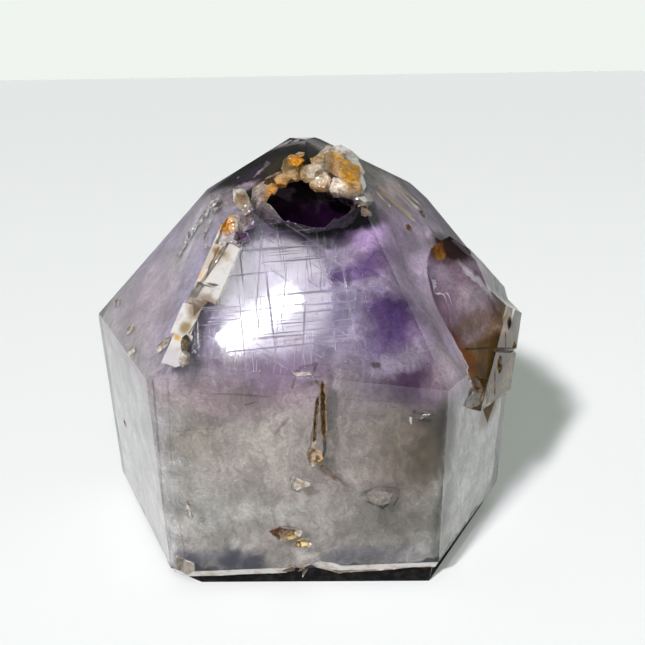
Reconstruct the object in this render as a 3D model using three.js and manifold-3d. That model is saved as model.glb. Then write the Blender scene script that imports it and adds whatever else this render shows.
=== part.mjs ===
// Raw amethyst point: one quartz crystal with cut and polished faces and natural skin left in its hollows.
// Millimetres, +Z up. The crystal stands on its underside, with the middle of its box over the origin.

import * as THREE from 'three';
import { ConvexGeometry } from 'three/addons/geometries/ConvexGeometry.js';
import { mergeVertices } from 'three/addons/utils/BufferGeometryUtils.js';
import Module from 'manifold-3d';

const wasm = await Module();
wasm.setup();

// Driving dimensions

const FRONT_WIDTH = 70;          // the front face, side to side
const DRAWN_WIDTH = 70;          // the front width that the places below are given for
const HEIGHT = 106.9;            // table to summit
const STONE = 0xb3a5b4;          // milky lavender grey

// Polished faces: the way the face looks (degrees from the front, right positive), how far it is tipped
// up from the horizontal (degrees), and its distance from the middle of the base (mm).

const FACES = {
  front: [1.8, -0.5, 50.0],
  frontLeftStrip: [-26.6, -0.3, 59.85],
  left: [-60.4, -0.2, 55.4],
  right: [55.2, 0.1, 56.0],
  backRight: [119.4, -1.4, 43.1],
  back: [180, 0, 49.0],
  backLeft: [-120.5, 0.5, 49.35],
  frontSlope: [7.5, 35.0, 75.1],
  leftSlope: [-60.2, 38.6, 80.25],
  rightSlope: [57.0, 37.3, 77.0],
  backRightSlope: [120, 35.0, 76.25],
  backLeftSlope: [-118.4, 41.8, 75.9],
  backSlope: [180, 38, 76.0],
  capLeft: [-45.9, 59.2, 94.4],
  capRight: [58.4, 58.4, 93.7],
  capBack: [180, 58, 88.5],
  capBackLeft: [-120, 52.5, 85.25],
  capBackRight: [118, 61.7, 94.95],
  shoulderBackRight: [120, 48.0, 86.8],
  crownStrip: [-14, 50, 90.0],
  summit: [0, 90, HEIGHT],
  underside: [0, -90, 0],
};

// The foot: each upright face ends in a narrow polished bevel, and below it the raw underside slopes in.

const BEVEL_TOP = 4.0;
const BEVEL_TIP = -25;
const RAW_EDGE_HEIGHT = 1.2;
const RAW_TIP = -68;

// The raw ground that the crystal stands on, a low uneven block under the bevels. Its sides are given as
// the polished faces are, and its table is this far under the one that their heights are counted from.

const RAW_FOOT = {
  front: [-0.8, -8, 47.0],
  frontLeft: [-28, -8, 54.6],
  left: [-60, -8, 50.6],
  right: [56, -8, 53.2],
  backRight: [119, -8, 40.2],
  back: [180, -8, 46.0],
  backLeft: [-120, -8, 46.2],
  top: [0, 90, 1.6],
};
const RAW_FOOT_DROP = 3.8;

// Directions, planes and solids

const SPAN = 400;
const SMALL = 1e-6;

function outward(azimuth, tip) {
  const a = THREE.MathUtils.degToRad(azimuth);
  const t = THREE.MathUtils.degToRad(tip);
  return new THREE.Vector3(Math.sin(a) * Math.cos(t), -Math.cos(a) * Math.cos(t), Math.sin(t));
}

function facePlane([azimuth, tip, distance]) {
  return new THREE.Plane(outward(azimuth, tip), -distance);
}

// A point on a face: across to its right as seen from outside, at a height, and out from it.
function onPlane([azimuth, tip, distance], across, height, out = 0) {
  const a = THREE.MathUtils.degToRad(azimuth);
  const n = outward(azimuth, tip);
  const level = Math.hypot(n.x, n.y);
  const reach = (distance - n.z * height) / level;
  const foot = new THREE.Vector3(n.x / level * reach, n.y / level * reach, height);
  const side = new THREE.Vector3(Math.cos(a), Math.sin(a), 0);
  return foot.addScaledVector(side, across).addScaledVector(n, out);
}

function onFace(name, across, height, out = 0) {
  return onPlane(FACES[name], across, height, out);
}

function toSolid(geometry) {
  const bare = geometry.clone();
  bare.deleteAttribute('normal');
  bare.deleteAttribute('uv');
  const merged = mergeVertices(bare, 1e-4);
  return new wasm.Manifold(new wasm.Mesh({
    numProp: 3,
    vertProperties: new Float32Array(merged.attributes.position.array),
    triVerts: new Uint32Array(merged.index.array),
  }));
}

function block(points) {
  return toSolid(new ConvexGeometry(points));
}

// Corners of the space inside all planes: each corner is where three of them meet.
function corners(planes) {
  const found = [];
  const cross = new THREE.Vector3();
  for (let i = 0; i < planes.length; i++) {
    for (let j = i + 1; j < planes.length; j++) {
      cross.crossVectors(planes[i].normal, planes[j].normal);
      for (let k = j + 1; k < planes.length; k++) {
        const det = cross.dot(planes[k].normal);
        if (Math.abs(det) < SMALL) continue;
        const p = new THREE.Vector3()
          .addScaledVector(new THREE.Vector3().crossVectors(planes[j].normal, planes[k].normal),
            -planes[i].constant)
          .addScaledVector(new THREE.Vector3().crossVectors(planes[k].normal, planes[i].normal),
            -planes[j].constant)
          .addScaledVector(cross, -planes[k].constant)
          .divideScalar(det);
        if (planes.every((plane) => plane.distanceToPoint(p) < SMALL * SPAN)) found.push(p);
      }
    }
  }
  return found;
}

function solidInside(planes) {
  return block(corners(planes));
}

function joinAll(solids) {
  return solids.reduce((whole, solid) => whole.add(solid));
}

function cutAll(body, solids) {
  return solids.reduce((rest, solid) => rest.subtract(solid), body);
}

// Even numbers between 0 and 1 from a seed, so that every broken surface is the same each time.
function dice(seed) {
  let state = seed * 7919 + 17;
  return () => {
    state = (state * 48271) % 2147483647;
    return state / 2147483647;
  };
}

// A broken piece of quartz: flat sides at uneven distances round a middle, stretched along x, y and z.
const NEAREST_SIDE = 0.72;       // the nearest side that a chunk may have, as a share of its half size
const SIDE_SPREAD = 0.9;         // how far a side may be turned from an even spacing, radians
const GOLDEN_TURN = Math.PI * (3 - Math.sqrt(5));

function chunk(middle, [rx, ry, rz], seed, sides = 12, turn = 0) {
  const roll = dice(seed);
  const planes = [];
  for (let i = 0; i < sides; i++) {
    const up = 1 - 2 * (i + 0.5) / sides;
    const angle = i * GOLDEN_TURN + roll() * SIDE_SPREAD;
    const level = Math.sqrt(1 - up * up);
    const n = new THREE.Vector3(Math.cos(angle) * level, Math.sin(angle) * level, up);
    planes.push(new THREE.Plane(n, -(NEAREST_SIDE + (1 - NEAREST_SIDE) * roll())));
  }
  const geometry = new ConvexGeometry(corners(planes));
  geometry.scale(rx, ry, rz);
  geometry.rotateZ(THREE.MathUtils.degToRad(turn));
  geometry.translate(middle.x, middle.y, middle.z);
  return toSolid(geometry);
}

// A groove in a face with a V section, from one point of the face to another. It tapers to a point at
// both ends, and its sides go on above the face so that the cut is clean.
const GROOVE_TAPER = 0.12;       // share of the length that each end tapers over
const GROOVE_LIFT = 1.5;         // mm above the face
const GROOVE_FLARE = 1.6;        // width up there, against the width in the face

function grooveIn(face, from, to, width, depth) {
  const n = outward(face[0], face[1]);
  const a = onPlane(face, ...from);
  const b = onPlane(face, ...to);
  const side = new THREE.Vector3().subVectors(b, a).cross(n).setLength(width / 2);
  const lift = n.clone().multiplyScalar(GROOVE_LIFT);
  const points = [a, b];
  for (const end of [a.clone().lerp(b, GROOVE_TAPER), b.clone().lerp(a, GROOVE_TAPER)]) {
    points.push(end.clone().addScaledVector(n, -depth));
    for (const way of [-1, 1]) {
      points.push(end.clone().addScaledVector(side, way));
      points.push(end.clone().addScaledVector(side, way * GROOVE_FLARE).add(lift));
    }
  }
  points.push(a.clone().add(lift), b.clone().add(lift));
  return block(points);
}

function groove(name, from, to, width, depth) {
  return grooveIn(FACES[name], from, to, width, depth);
}

// The polished point, with its bevelled foot and the raw edge under it

const UPRIGHT_FACES = ['front', 'frontLeftStrip', 'left', 'right', 'backRight', 'back', 'backLeft'];

function polishedPoint() {
  const planes = Object.values(FACES).map(facePlane);
  for (const name of UPRIGHT_FACES) {
    const azimuth = FACES[name][0];
    const bevelFrom = onFace(name, 0, BEVEL_TOP);
    const bevel = outward(azimuth, BEVEL_TIP);
    planes.push(new THREE.Plane(bevel, -bevel.dot(bevelFrom)));
    const inset = (BEVEL_TOP - RAW_EDGE_HEIGHT) * Math.tan(THREE.MathUtils.degToRad(-BEVEL_TIP));
    const rawFrom = onFace(name, 0, RAW_EDGE_HEIGHT).addScaledVector(outward(azimuth, 0), -inset);
    const raw = outward(azimuth, RAW_TIP);
    planes.push(new THREE.Plane(raw, -raw.dot(rawFrom)));
  }
  return solidInside(planes);
}

function rawFoot() {
  const sides = Object.values(RAW_FOOT).map(facePlane);
  return solidInside([...sides, facePlane([0, -90, RAW_FOOT_DROP])]);
}

// The hollow under the crown: a lens-shaped cave that runs back under the crust

const HOLLOW_MIDDLE = new THREE.Vector3(2.0, -18.4, 91.2);

function crownHollow() {
  const beside = (x, y, z) => HOLLOW_MIDDLE.clone().add(new THREE.Vector3(x, y, z));
  return joinAll([
    chunk(HOLLOW_MIDDLE, [14.6, 12.8, 8.2], 3, 40),
    chunk(beside(-6.5, -2.0, 1.4), [7.6, 9.6, 6.4], 5, 24),
    chunk(beside(7.0, -0.6, 1.4), [8.6, 8.8, 5.2], 8, 24),
    chunk(beside(-2.5, -0.6, 4.6), [9.0, 7.6, 5.6], 11, 24),
  ]);
}

// The iron-stained crust round the hollow: broken quartz grown together, [x, y, z, radius] of each lump

const CRUST = [
  [-1.4, -16.2, 101.0, 3.4], [0.4, -13.8, 102.0, 2.5], [-2.6, -19.2, 99.8, 2.5],
  [4.6, -16.6, 100.2, 4.4], [7.6, -12.4, 100.4, 4.8], [6.6, -6.6, 102.2, 3.4],
  [10.2, -6.4, 101.0, 3.8], [9.6, -15.4, 98.0, 4.7], [12.2, -10.2, 98.8, 4.2],
  [12.6, -17.8, 96.0, 4.1], [8.8, -19.8, 96.2, 3.4], [5.2, -20.4, 98.0, 3.1],
  [1.8, -20.4, 99.6, 2.4], [-1.6, -20.6, 99.8, 2.0], [-4.6, -22.0, 98.6, 1.7],
  [-7.2, -23.8, 96.8, 1.4], [-9.2, -25.4, 95.0, 1.1], [12.6, -21.0, 94.6, 2.7],
  [14.4, -23.0, 92.8, 2.3], [15.4, -25.0, 90.8, 1.7], [3.6, -10.4, 101.4, 2.4],
];

function crust() {
  return joinAll(CRUST.map(([x, y, z, r], i) =>
    chunk(new THREE.Vector3(x, y, z), [r * 1.05, r, r * 0.92], 40 + i, 13, i * 37)));
}

// The left edge: a natural strip of flat ledges where the front and left slopes would meet.
// Each ledge is [from, to (mm up the edge), left, right (mm from the edge), lean to the right (degrees),
// depth under the edge (mm), how far its left side slants to the right on the way up (mm)].

const EDGE_FOOT = new THREE.Vector3(-30.3, -51.5, 63.6);
const EDGE_HEAD = new THREE.Vector3(-18.2, -32.2, 88.8);
const LEDGES = [
  [0.0, 8.0, -6.0, 5.4, 4, 1.2, 0],
  [7.4, 15.2, -6.0, 2.2, -8, 1.4, 0],
  [16.8, 20.9, -2.6, 4.5, -6, 3.5, 0.6],
  [15.4, 38.0, -6.0, 1.4, 6, 1.45, 0],
  [20.6, 32.2, -1.5, 4.5, 8, 2.6, 2.2],
  [31.0, 42.0, -2.0, 5.6, -4, 2.0, 0],
];

const EDGE_UP = new THREE.Vector3().subVectors(EDGE_HEAD, EDGE_FOOT).normalize();
const EDGE_OUT = outward(...FACES.frontSlope.slice(0, 2)).add(outward(...FACES.leftSlope.slice(0, 2)))
  .normalize();
const EDGE_RIGHT = new THREE.Vector3().crossVectors(EDGE_UP, EDGE_OUT);

// A point of the strip: mm up the edge, to its right, and out from it.
function onEdge(up, right, out) {
  return EDGE_FOOT.clone().addScaledVector(EDGE_UP, up).addScaledVector(EDGE_RIGHT, right)
    .addScaledVector(EDGE_OUT, out);
}

function ledge([from, to, left, right, lean, depth, slant]) {
  const fall = Math.tan(THREE.MathUtils.degToRad(lean));
  const points = [];
  for (const [up, start] of [[from, left], [to, left + slant]]) {
    for (const side of [start, right]) {
      points.push(onEdge(up, side, -depth - side * fall));
      points.push(onEdge(up, side * 1.15, 9));
    }
  }
  return block(points);
}

// Notches, a channel and broken ground in the strip
function edgeBreaks() {
  return [
    block([onEdge(17.4, -3.4, 1), onEdge(17.8, 4.4, 1), onEdge(10.6, 1.0, 1), onEdge(15.0, 0.6, -4.6)]),
    chunk(onEdge(4.6, -4.2, -2.2), [1.6, 1.6, 1.4], 66, 12),
    chunk(onEdge(-0.6, 8.4, -2.2), [3.6, 1.7, 1.6], 67, 12),
    chunk(onEdge(35.6, -0.4, -1.4), [2.0, 2.0, 2.2], 63, 12),
    chunk(onEdge(38.4, 3.4, -2.0), [2.4, 2.2, 2.6], 64, 12),
    chunk(onEdge(34.2, 3.4, -2.4), [2.0, 1.8, 1.8], 65, 12),
  ];
}

// A rounded brown rod of quartz that lies in the foot of the strip
function edgeRod() {
  return [
    chunk(onEdge(5.6, 1.9, -1.6), [1.2, 2.0, 2.2], 68, 16, -20),
    chunk(onEdge(2.6, 3.0, -1.8), [1.2, 2.0, 2.2], 69, 16, -20),
  ];
}

function edgeShard() {
  return block([
    new THREE.Vector3(-17.2, -18.6, 96.4), new THREE.Vector3(-14.2, -19.0, 96.2),
    new THREE.Vector3(-11.2, -28.6, 93.0), new THREE.Vector3(-13.4, -28.9, 91.6),
    new THREE.Vector3(-17.0, -24.2, 90.6), new THREE.Vector3(-10.6, -22.0, 89.0),
    new THREE.Vector3(-15.2, -24.6, 94.6),
  ]);
}

// The sparkling broken furrows and the chips of the left slope: [across, height, radius] of each break
const FURROW_BREAKS = [
  [4.8, 92.8, 1.7], [4.0, 90.6, 1.5], [3.2, 88.6, 1.6], [2.8, 86.6, 1.3], [2.4, 84.8, 1.5], [3.0, 82.6, 1.2],
  [3.6, 80.6, 1.0], [7.6, 91.6, 1.1], [8.8, 89.2, 0.9], [9.6, 87.2, 1.0], [11.8, 86.0, 0.8],
  [14.4, 84.6, 0.8],
];

function leftSlopeBreaks() {
  const furrow = FURROW_BREAKS.map(([across, height, r], i) =>
    chunk(onFace('leftSlope', across, height, 0.15), [r * 0.8, r * 0.9, r], 170 + i, 10));
  return [
    ...furrow,
    chunk(onFace('leftSlope', -15.3, 64.2, 0.4), [1.2, 1.6, 1.4], 71),
    chunk(onFace('leftSlope', 1.9, 62.5, 0.4), [1.6, 1.0, 1.8], 72),
    chunk(onFace('leftSlope', 10.0, 60.0, 0.6), [1.4, 1.4, 2.0], 73),
    chunk(onFace('leftSlope', 22.5, 65.0, 0.5), [1.4, 1.4, 2.0], 74),
  ];
}

// Growth ridges left raw at the top of the right slope: [from, to, width, depth] of each furrow, and two pits
const RIDGE_FURROWS = [
  [[2.0, 100.2], [12.8, 86.2], 1.5, 0.9],
  [[0.6, 99.4], [9.8, 87.6], 0.8, 0.4],
  [[4.2, 100.6], [14.4, 87.8], 0.8, 0.4],
  [[-1.0, 96.2], [6.2, 85.6], 2.6, 0.4],
  [[-3.6, 95.0], [-1.0, 90.4], 0.9, 0.3],
];

function rightSlopeRidges() {
  const furrows = RIDGE_FURROWS.map(([from, to, width, depth]) =>
    groove('rightSlope', from, to, width, depth));
  furrows.push(chunk(onFace('rightSlope', 1.6, 85.0, 0.3), [1.4, 1.2, 1.2], 81));
  furrows.push(chunk(onFace('rightSlope', 12.4, 86.4, 0.3), [1.4, 1.2, 1.2], 82));
  return furrows;
}

// The pocket on the right slope, and the smaller crystal that grew in it and stands out past the edge

const POCKET_RIM = [[15.0, 79.4], [6.0, 78.9], [1.0, 77.4], [-2.4, 75.5], [-6.6, 70.9], [-7.9, 68.1],
  [-8.3, 64.5], [-7.7, 61.1], [-8.0, 56.3], [-10.1, 52.9], [-8.0, 50.0]];
const POCKET_FOOT = [[-1.0, 48.2], [3.0, 44.0], [12.0, 46.0]];
const POCKET_DEPTH = 5.5;
const POCKET_SLANT = 1.4;        // how far the pocket's wall leans in over that depth

function sidePocket() {
  const points = [];
  for (const [across, height] of POCKET_RIM) {
    points.push(onFace('rightSlope', across - POCKET_SLANT / 2, height, POCKET_DEPTH / 2));
    points.push(onFace('rightSlope', across + POCKET_SLANT, height, -POCKET_DEPTH));
  }
  points.push(onFace('rightSlope', 20, 58, POCKET_DEPTH), onFace('rightSlope', 18, 60, -POCKET_DEPTH));
  for (const [across, height] of POCKET_FOOT) {
    points.push(onFace('right', across, height, POCKET_DEPTH / 2));
    points.push(onFace('right', across, height, -POCKET_DEPTH));
  }
  return block(points);
}

const SIDE_CRYSTAL = {
  main: [32, 34.3, 70.35],
  leftFlank: [-36, 27, 27.6],
  tipLeft: [-130, 35, 16.2],
  tipRight: [97, 56.5, 88.65],
  tipShoulder: [69, 36.6, 82.8],
  rightFlank: [67, 31.3, 79.4],
  farTip: [125, 46.8, 78.2],
  farFlank: [119.4, -1.4, 51.4],
  back: [180, 0, 13],
  underBlock: [55.6, 6.7, 62.2],
  underBlade: [118, -23.3, 21.6],
  root: [-60, -20, -12],
  foot: [-30, -81, -41.6],
};

function sideCrystal() {
  return solidInside(Object.values(SIDE_CRYSTAL).map(facePlane));
}

// Smoky stepped block below the small crystal: its front left edge stands up as a pale blade.

const SMOKY_BLOCK = {
  front: [55.6, 6.7, 62.9],
  blade: [-25, 45.6, 41.25],
  right: [118, -23.3, 22.8],
  top: [90, 51, 84],
  bottom: [-30, -81, -40.3],
  back: [180, 0, 6],
  root: [-90, 0, -40],
};

function smokyBlock() {
  const { front } = SMOKY_BLOCK;
  const whole = solidInside(Object.values(SMOKY_BLOCK).map(facePlane));
  const at = (across, height, out) => onPlane(front, across, height, out);
  return cutAll(whole, [
    grooveIn(front, [3.5, 55.5], [25.0, 47.4], 1.4, 1.0),
    grooveIn(front, [13.1, 57.2], [12.8, 52.8], 0.9, 1.4),
    grooveIn(front, [4.5, 49.2], [3.9, 42.5], 0.9, 1.6),
    chunk(at(16.4, 58.7, 0), [1.6, 1.6, 1.9], 94, 12),
    chunk(at(8.6, 49.5, 0.2), [2.2, 1.6, 2.6], 95, 12),
    chunk(at(20.0, 50.4, 0.2), [1.6, 1.6, 1.5], 96, 12),
  ]);
}

// Dark gaps between the block and the right face, and the ragged foot of the pocket
function sideGaps() {
  const at = (across, height, out) => onFace('right', across, height, out);
  return [
    block([at(0.6, 39.9, 1.2), at(14.3, 36.9, 1.2), at(7.4, 30.4, 1.2), at(8.0, 36.6, -5.0)]),
    grooveIn(FACES.right, [-0.9, 49.8], [0.4, 40.2], 1.6, 2.6),
    chunk(at(-5.6, 51.4, 0.5), [1.9, 1.7, 2.4], 91, 12),
    chunk(at(-8.6, 53.6, 0.4), [1.7, 1.6, 1.9], 92, 12),
    grooveIn(FACES.right, [-3.4, 51.0], [-3.0, 46.0], 1.2, 1.2),
  ];
}

// The fissure, pits, flakes and chips of the front face
function frontBreaks() {
  const at = (across, height, out) => onFace('front', across, height, out);
  return [
    groove('front', [2.9, 58.6], [3.2, 42.0], 1.5, 1.7),
    groove('front', [1.8, 54.2], [0.6, 40.4], 0.9, 0.9),
    chunk(at(1.0, 37.8, 0.1), [2.2, 1.5, 2.9], 101, 14),
    groove('front', [2.4, 35.4], [6.4, 30.6], 1.4, 0.8),
    chunk(at(-6.8, 15.2, 0.2), [4.4, 2.0, 2.4], 102, 14, -4),
    chunk(at(-2.6, 11.8, 0.3), [2.4, 1.4, 1.6], 103, 12),
    chunk(at(16.6, 25.2, 0.7), [4.6, 1.1, 3.1], 104, 9),
    chunk(at(-3.4, 30.0, 0.6), [1.9, 1.0, 2.1], 105, 9),
    chunk(at(25.8, 48.6, 0.4), [1.9, 0.9, 1.5], 106, 10),
    chunk(at(-30.8, 23.2, 0.3), [0.6, 0.8, 2.3], 107, 10),
    chunk(at(-1.0, 60.8, 0.5), [3.4, 1.5, 1.6], 108, 12),
    chunk(at(9.0, 59.6, 0.8), [5.6, 1.2, 0.9], 109, 10, -3),
  ];
}

// The foot: the shell-shaped chip in the front bevel, the broken left corner, and a ring of shallow
// hollows in the raw underside. The middle of the underside stays flat.
const UNDER_HOLLOWS = 11;
const UNDER_REACH = 34;          // mm from the middle
const UNDER_WAVER = 6;           // mm nearer or further
const UNDER_SIZE = [10, 8, 2.9];
const FOOT_CHIPS = [['right', -8, 185], ['left', 6, 186]];

function footBreaks() {
  const cuts = [
    chunk(onFace('front', 2.0, 0.6, 0.6), [9.2, 3.4, 5.8], 121, 16),
    chunk(onFace('front', -4.6, 1.0, 1.0), [4.6, 3.0, 3.2], 122, 12),
    chunk(onFace('frontLeftStrip', -5.2, 4.0, 1.4), [3.6, 3.4, 6.0], 123, 14),
    chunk(onFace('left', 14.0, 1.4, 1.4), [3.4, 3.0, 2.6], 124, 12),
    chunk(onFace('frontLeftStrip', -3.4, 15.0, 1.2), [1.6, 1.7, 7.4], 125, 14),
  ];
  for (let i = 0; i < UNDER_HOLLOWS; i++) {
    const angle = (i + 0.5) / UNDER_HOLLOWS * Math.PI * 2;
    const reach = UNDER_REACH + UNDER_WAVER * Math.sin(i * 2.3);
    const middle = new THREE.Vector3(Math.cos(angle) * reach, Math.sin(angle) * reach * 0.88,
      -1.2 - RAW_FOOT_DROP);
    cuts.push(chunk(middle, UNDER_SIZE, 140 + i, 14, i * 31));
  }
  for (const [face, across, seed] of FOOT_CHIPS) {
    cuts.push(chunk(onFace(face, across, -1.0, -2.0), [4.5, 1.6, 2.0], seed, 12));
  }
  return cuts;
}

// Natural pits and chips on the faces that look away from the front
function backBreaks() {
  return [
    chunk(onFace('back', -14, 34, 0.8), [6.5, 2.0, 4.2], 161, 14),
    chunk(onFace('back', -9, 27, 0.6), [3.0, 1.5, 2.6], 162, 12),
    groove('back', [12, 52], [16, 38], 1.6, 1.2),
    groove('backSlope', [-8, 82], [2, 68], 2.4, 1.0),
    groove('backSlope', [-5, 83], [5, 70], 1.6, 0.8),
    chunk(onFace('backLeft', 8, 18, 0.6), [3.4, 3.4, 2.6], 163, 12),
    groove('backLeftSlope', [4, 84], [-3, 70], 2.2, 0.9),
    chunk(onFace('backRight', 6, 15, 0.5), [2.4, 2.8, 3.2], 164, 12),
    chunk(onFace('left', -8, 30, 0.6), [1.2, 1.8, 1.4], 165, 10),
  ];
}

// The whole crystal

function crystal() {
  let body = joinAll([polishedPoint(), rawFoot()]);
  body = cutAll(body, [...LEDGES.map(ledge), ...edgeBreaks()]);
  body = joinAll([body, edgeShard(), ...edgeRod()]);
  body = cutAll(body, [crownHollow(), sidePocket()]);
  body = joinAll([body, crust(), sideCrystal(), smokyBlock()]);
  return cutAll(body, [...leftSlopeBreaks(), ...rightSlopeRidges(), ...sideGaps(), ...frontBreaks(),
    ...footBreaks(), ...backBreaks()]);
}

function toGeometry(solid) {
  const mesh = solid.getMesh();
  const geometry = new THREE.BufferGeometry();
  geometry.setAttribute('position', new THREE.BufferAttribute(new Float32Array(mesh.vertProperties), 3));
  geometry.setIndex(new THREE.BufferAttribute(new Uint32Array(mesh.triVerts), 1));
  const scale = FRONT_WIDTH / DRAWN_WIDTH;
  geometry.scale(scale, scale, scale);
  return geometry;
}

function centred(geometry) {
  geometry.computeBoundingBox();
  const { min, max } = geometry.boundingBox;
  geometry.translate(-(min.x + max.x) / 2, -(min.y + max.y) / 2, -min.z);
  geometry.computeVertexNormals();
  return geometry;
}

const point = new THREE.Mesh(
  centred(toGeometry(crystal())),
  new THREE.MeshStandardMaterial({ color: STONE, roughness: 0.12, metalness: 0, flatShading: true }),
);
point.name = 'amethyst_point';

const part = new THREE.Group();
part.name = 'raw_amethyst_point';
part.add(point);

export default part;
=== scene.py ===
import math

import bmesh
import bpy
import numpy as np
from mathutils import Matrix, Vector


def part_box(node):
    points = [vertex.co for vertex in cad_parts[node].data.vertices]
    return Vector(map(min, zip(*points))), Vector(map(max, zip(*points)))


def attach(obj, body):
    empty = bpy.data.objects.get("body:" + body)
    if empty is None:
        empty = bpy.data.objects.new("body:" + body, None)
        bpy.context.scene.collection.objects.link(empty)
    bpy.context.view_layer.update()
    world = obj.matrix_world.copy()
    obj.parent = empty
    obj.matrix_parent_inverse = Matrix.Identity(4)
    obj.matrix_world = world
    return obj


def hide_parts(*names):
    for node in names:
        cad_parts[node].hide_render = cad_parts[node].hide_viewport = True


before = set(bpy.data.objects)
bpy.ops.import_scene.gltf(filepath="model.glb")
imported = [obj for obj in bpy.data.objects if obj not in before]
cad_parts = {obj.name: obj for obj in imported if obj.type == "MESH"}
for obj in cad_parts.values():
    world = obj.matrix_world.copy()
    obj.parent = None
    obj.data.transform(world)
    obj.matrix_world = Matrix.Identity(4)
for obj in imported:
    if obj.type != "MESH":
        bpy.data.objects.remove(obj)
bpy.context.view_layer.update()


# The flat faces of the stone. Six upright faces, the wide slopes and the small facets of the cap were
# ground and polished flat along the growth directions of quartz. Their directions are given here, and
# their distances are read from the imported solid. Places in and on the stone are counted from a face.

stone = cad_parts["amethyst_point"]
LOW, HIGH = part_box("amethyst_point")
MM = 0.001
RAW_FOOT = 3.8 * MM            # the raw ground under the polished faces
STONE_AXIS = np.array([LOW.x + 60.6 * MM, HIGH.y - 49.0 * MM, RAW_FOOT])
POINT_DIRECTIONS = {           # degrees from the front, right positive; degrees up from level
    "front": (1.8, -0.5), "front_left_strip": (-26.6, -0.3), "left": (-60.4, -0.2),
    "right": (55.2, 0.1), "back_right": (119.4, -1.4), "back": (180.0, 0.0),
    "back_left": (-120.5, 0.5), "front_slope": (7.5, 35.0), "left_slope": (-60.2, 38.6),
    "right_slope": (57.0, 37.3), "back_right_slope": (120.0, 35.0), "back_left_slope": (-118.4, 41.8),
    "back_slope": (180.0, 38.0), "cap_left": (-45.9, 59.2), "cap_right": (58.4, 58.4),
    "cap_back": (180.0, 58.0), "cap_back_left": (-120.0, 52.5), "cap_back_right": (118.0, 61.7),
    "shoulder": (120.0, 48.0), "crown_strip": (-14.0, 50.0), "summit": (0.0, 90.0),
    "underside": (0.0, -90.0),
}
SIDE_DIRECTIONS = {            # the small crystal and the smoky block on the right
    "side_crystal": (32.0, 34.3), "side_left_flank": (-36.0, 27.0), "side_shoulder": (69.0, 36.6),
    "side_flank": (67.0, 31.3), "side_tip_right": (97.0, 56.5), "side_far_tip": (125.0, 46.8),
    "smoky_block": (55.6, 6.7), "smoky_end": (118.0, -23.3), "side_foot": (-30.0, -81.0),
}
SAME_WAY = math.radians(0.6)   # a facet this near to a face's direction may belong to it
SAME_PLANE = 0.05 * MM         # facets this near to each other lie in one plane


def outward(azimuth, tip):
    """Unit vector: turned by the azimuth from -Y towards +X, then raised by the tip angle."""
    a, t = math.radians(azimuth), math.radians(tip)
    return np.array([math.sin(a) * math.cos(t), -math.cos(a) * math.cos(t), math.sin(t)])


def places_of(mesh):
    """The places of a mesh's corners, n x 3."""
    places = np.empty(len(mesh.vertices) * 3)
    mesh.vertices.foreach_get("co", places)
    return places.reshape(-1, 3)


def triangles_of(mesh):
    """The middle of each triangle, its unit normal and its area."""
    mesh.calc_loop_triangles()
    index = np.empty(len(mesh.loop_triangles) * 3, int)
    mesh.loop_triangles.foreach_get("vertices", index)
    corners = places_of(mesh)[index.reshape(-1, 3)]
    across = np.cross(corners[:, 1] - corners[:, 0], corners[:, 2] - corners[:, 0])
    size = np.linalg.norm(across, axis=1)
    return corners.mean(1), across / np.maximum(size, 1e-12)[:, None], size / 2


def face_planes(mesh, directions):
    """For each direction, the plane n.p = d in which the most facet area that looks that way lies."""
    middles, normals, areas = triangles_of(mesh)
    planes = {}
    for name, way in directions.items():
        n = outward(*way)
        near = normals @ n > math.cos(SAME_WAY)
        reach, weight = middles[near] @ n, areas[near]
        same = np.abs(reach[:, None] - reach[None, :]) < SAME_PLANE
        best = same[np.argmax(same @ weight)]
        planes[name] = (n, float(np.average(reach[best], weights=weight[best])))
    return planes


POINT_FACES = face_planes(stone.data, POINT_DIRECTIONS)
SIDE_FACES = face_planes(stone.data, SIDE_DIRECTIONS)
FACES = {**POINT_FACES, **SIDE_FACES}


def place(face, across, height, out=0.0):
    """Place in metres on a face seen from outside: mm to its right, mm above the raw foot, mm out of it."""
    n, d = FACES[face]
    level = math.hypot(n[0], n[1])
    reach = (d - n @ STONE_AXIS - n[2] * height * MM) / level
    side = np.array([-n[1], n[0], 0.0]) / level
    foot = STONE_AXIS + np.array([n[0] / level * reach, n[1] / level * reach, height * MM])
    return foot + side * across * MM + n * out * MM


# The skin of the stone: the polished faces meet in edges rounded by the polishing wheel, and the
# hollows, ledges and chips keep the uneven ground of broken quartz. It is the solid's own surface with
# its edges bevelled and its broken ground divided finer.

MERGE_GAP = 0.002 * MM         # corners nearer than this are one
FLAT_TURN = math.radians(0.05)           # facets that turn less than this are one flat piece
EDGE_ROUND = 0.35 * MM
ROUNDING_STEPS = 2
LEAST_TURN = math.radians(6)   # an edge is rounded where its faces turn by more than this
MOST_TURN = math.radians(80)   # and by less than this
LEAST_ROUNDED = 3.0 * MM       # a polished edge shorter than this stays sharp
WIDE_FACE = 25.0 * MM * MM     # and so does the edge of a face smaller than this
GRAIN_STEP = 0.75 * MM
GRAIN_ROUNDS = 5
GRAINS = [(0.16, 3.2, 3), (0.08, 1.3, 4)]  # the uneven ground: height and wave, mm, and which noise
TABLE_GAP = 0.3 * MM           # nearer than this to the table the stone keeps the solid's own facets
SMOOTH_FACET = 5.0 * MM * MM   # a flat piece larger than this broke smooth
CROWN_RAW = 19.0 * MM          # but not this near to the middle of the crust, which is rough all over
CRUST_MIDDLE = ("crown_strip", 2, 97)
FRONT_BREAKS = 3.6 * MM        # the pits and the fissure of the front face are within this of it
FRONT_BREAKS_TOP = 64 * MM
UNDERCUT = -0.35               # normals that point down by more than this are of the foot bevel
FLAT_BELOW = -0.7              # and past this of the underside
SPLIT_HEIGHT = 60 * MM         # the plates of the left edge are split off above this
SIDE_CRYSTAL_START = STONE_AXIS[0] + 28 * MM
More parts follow.
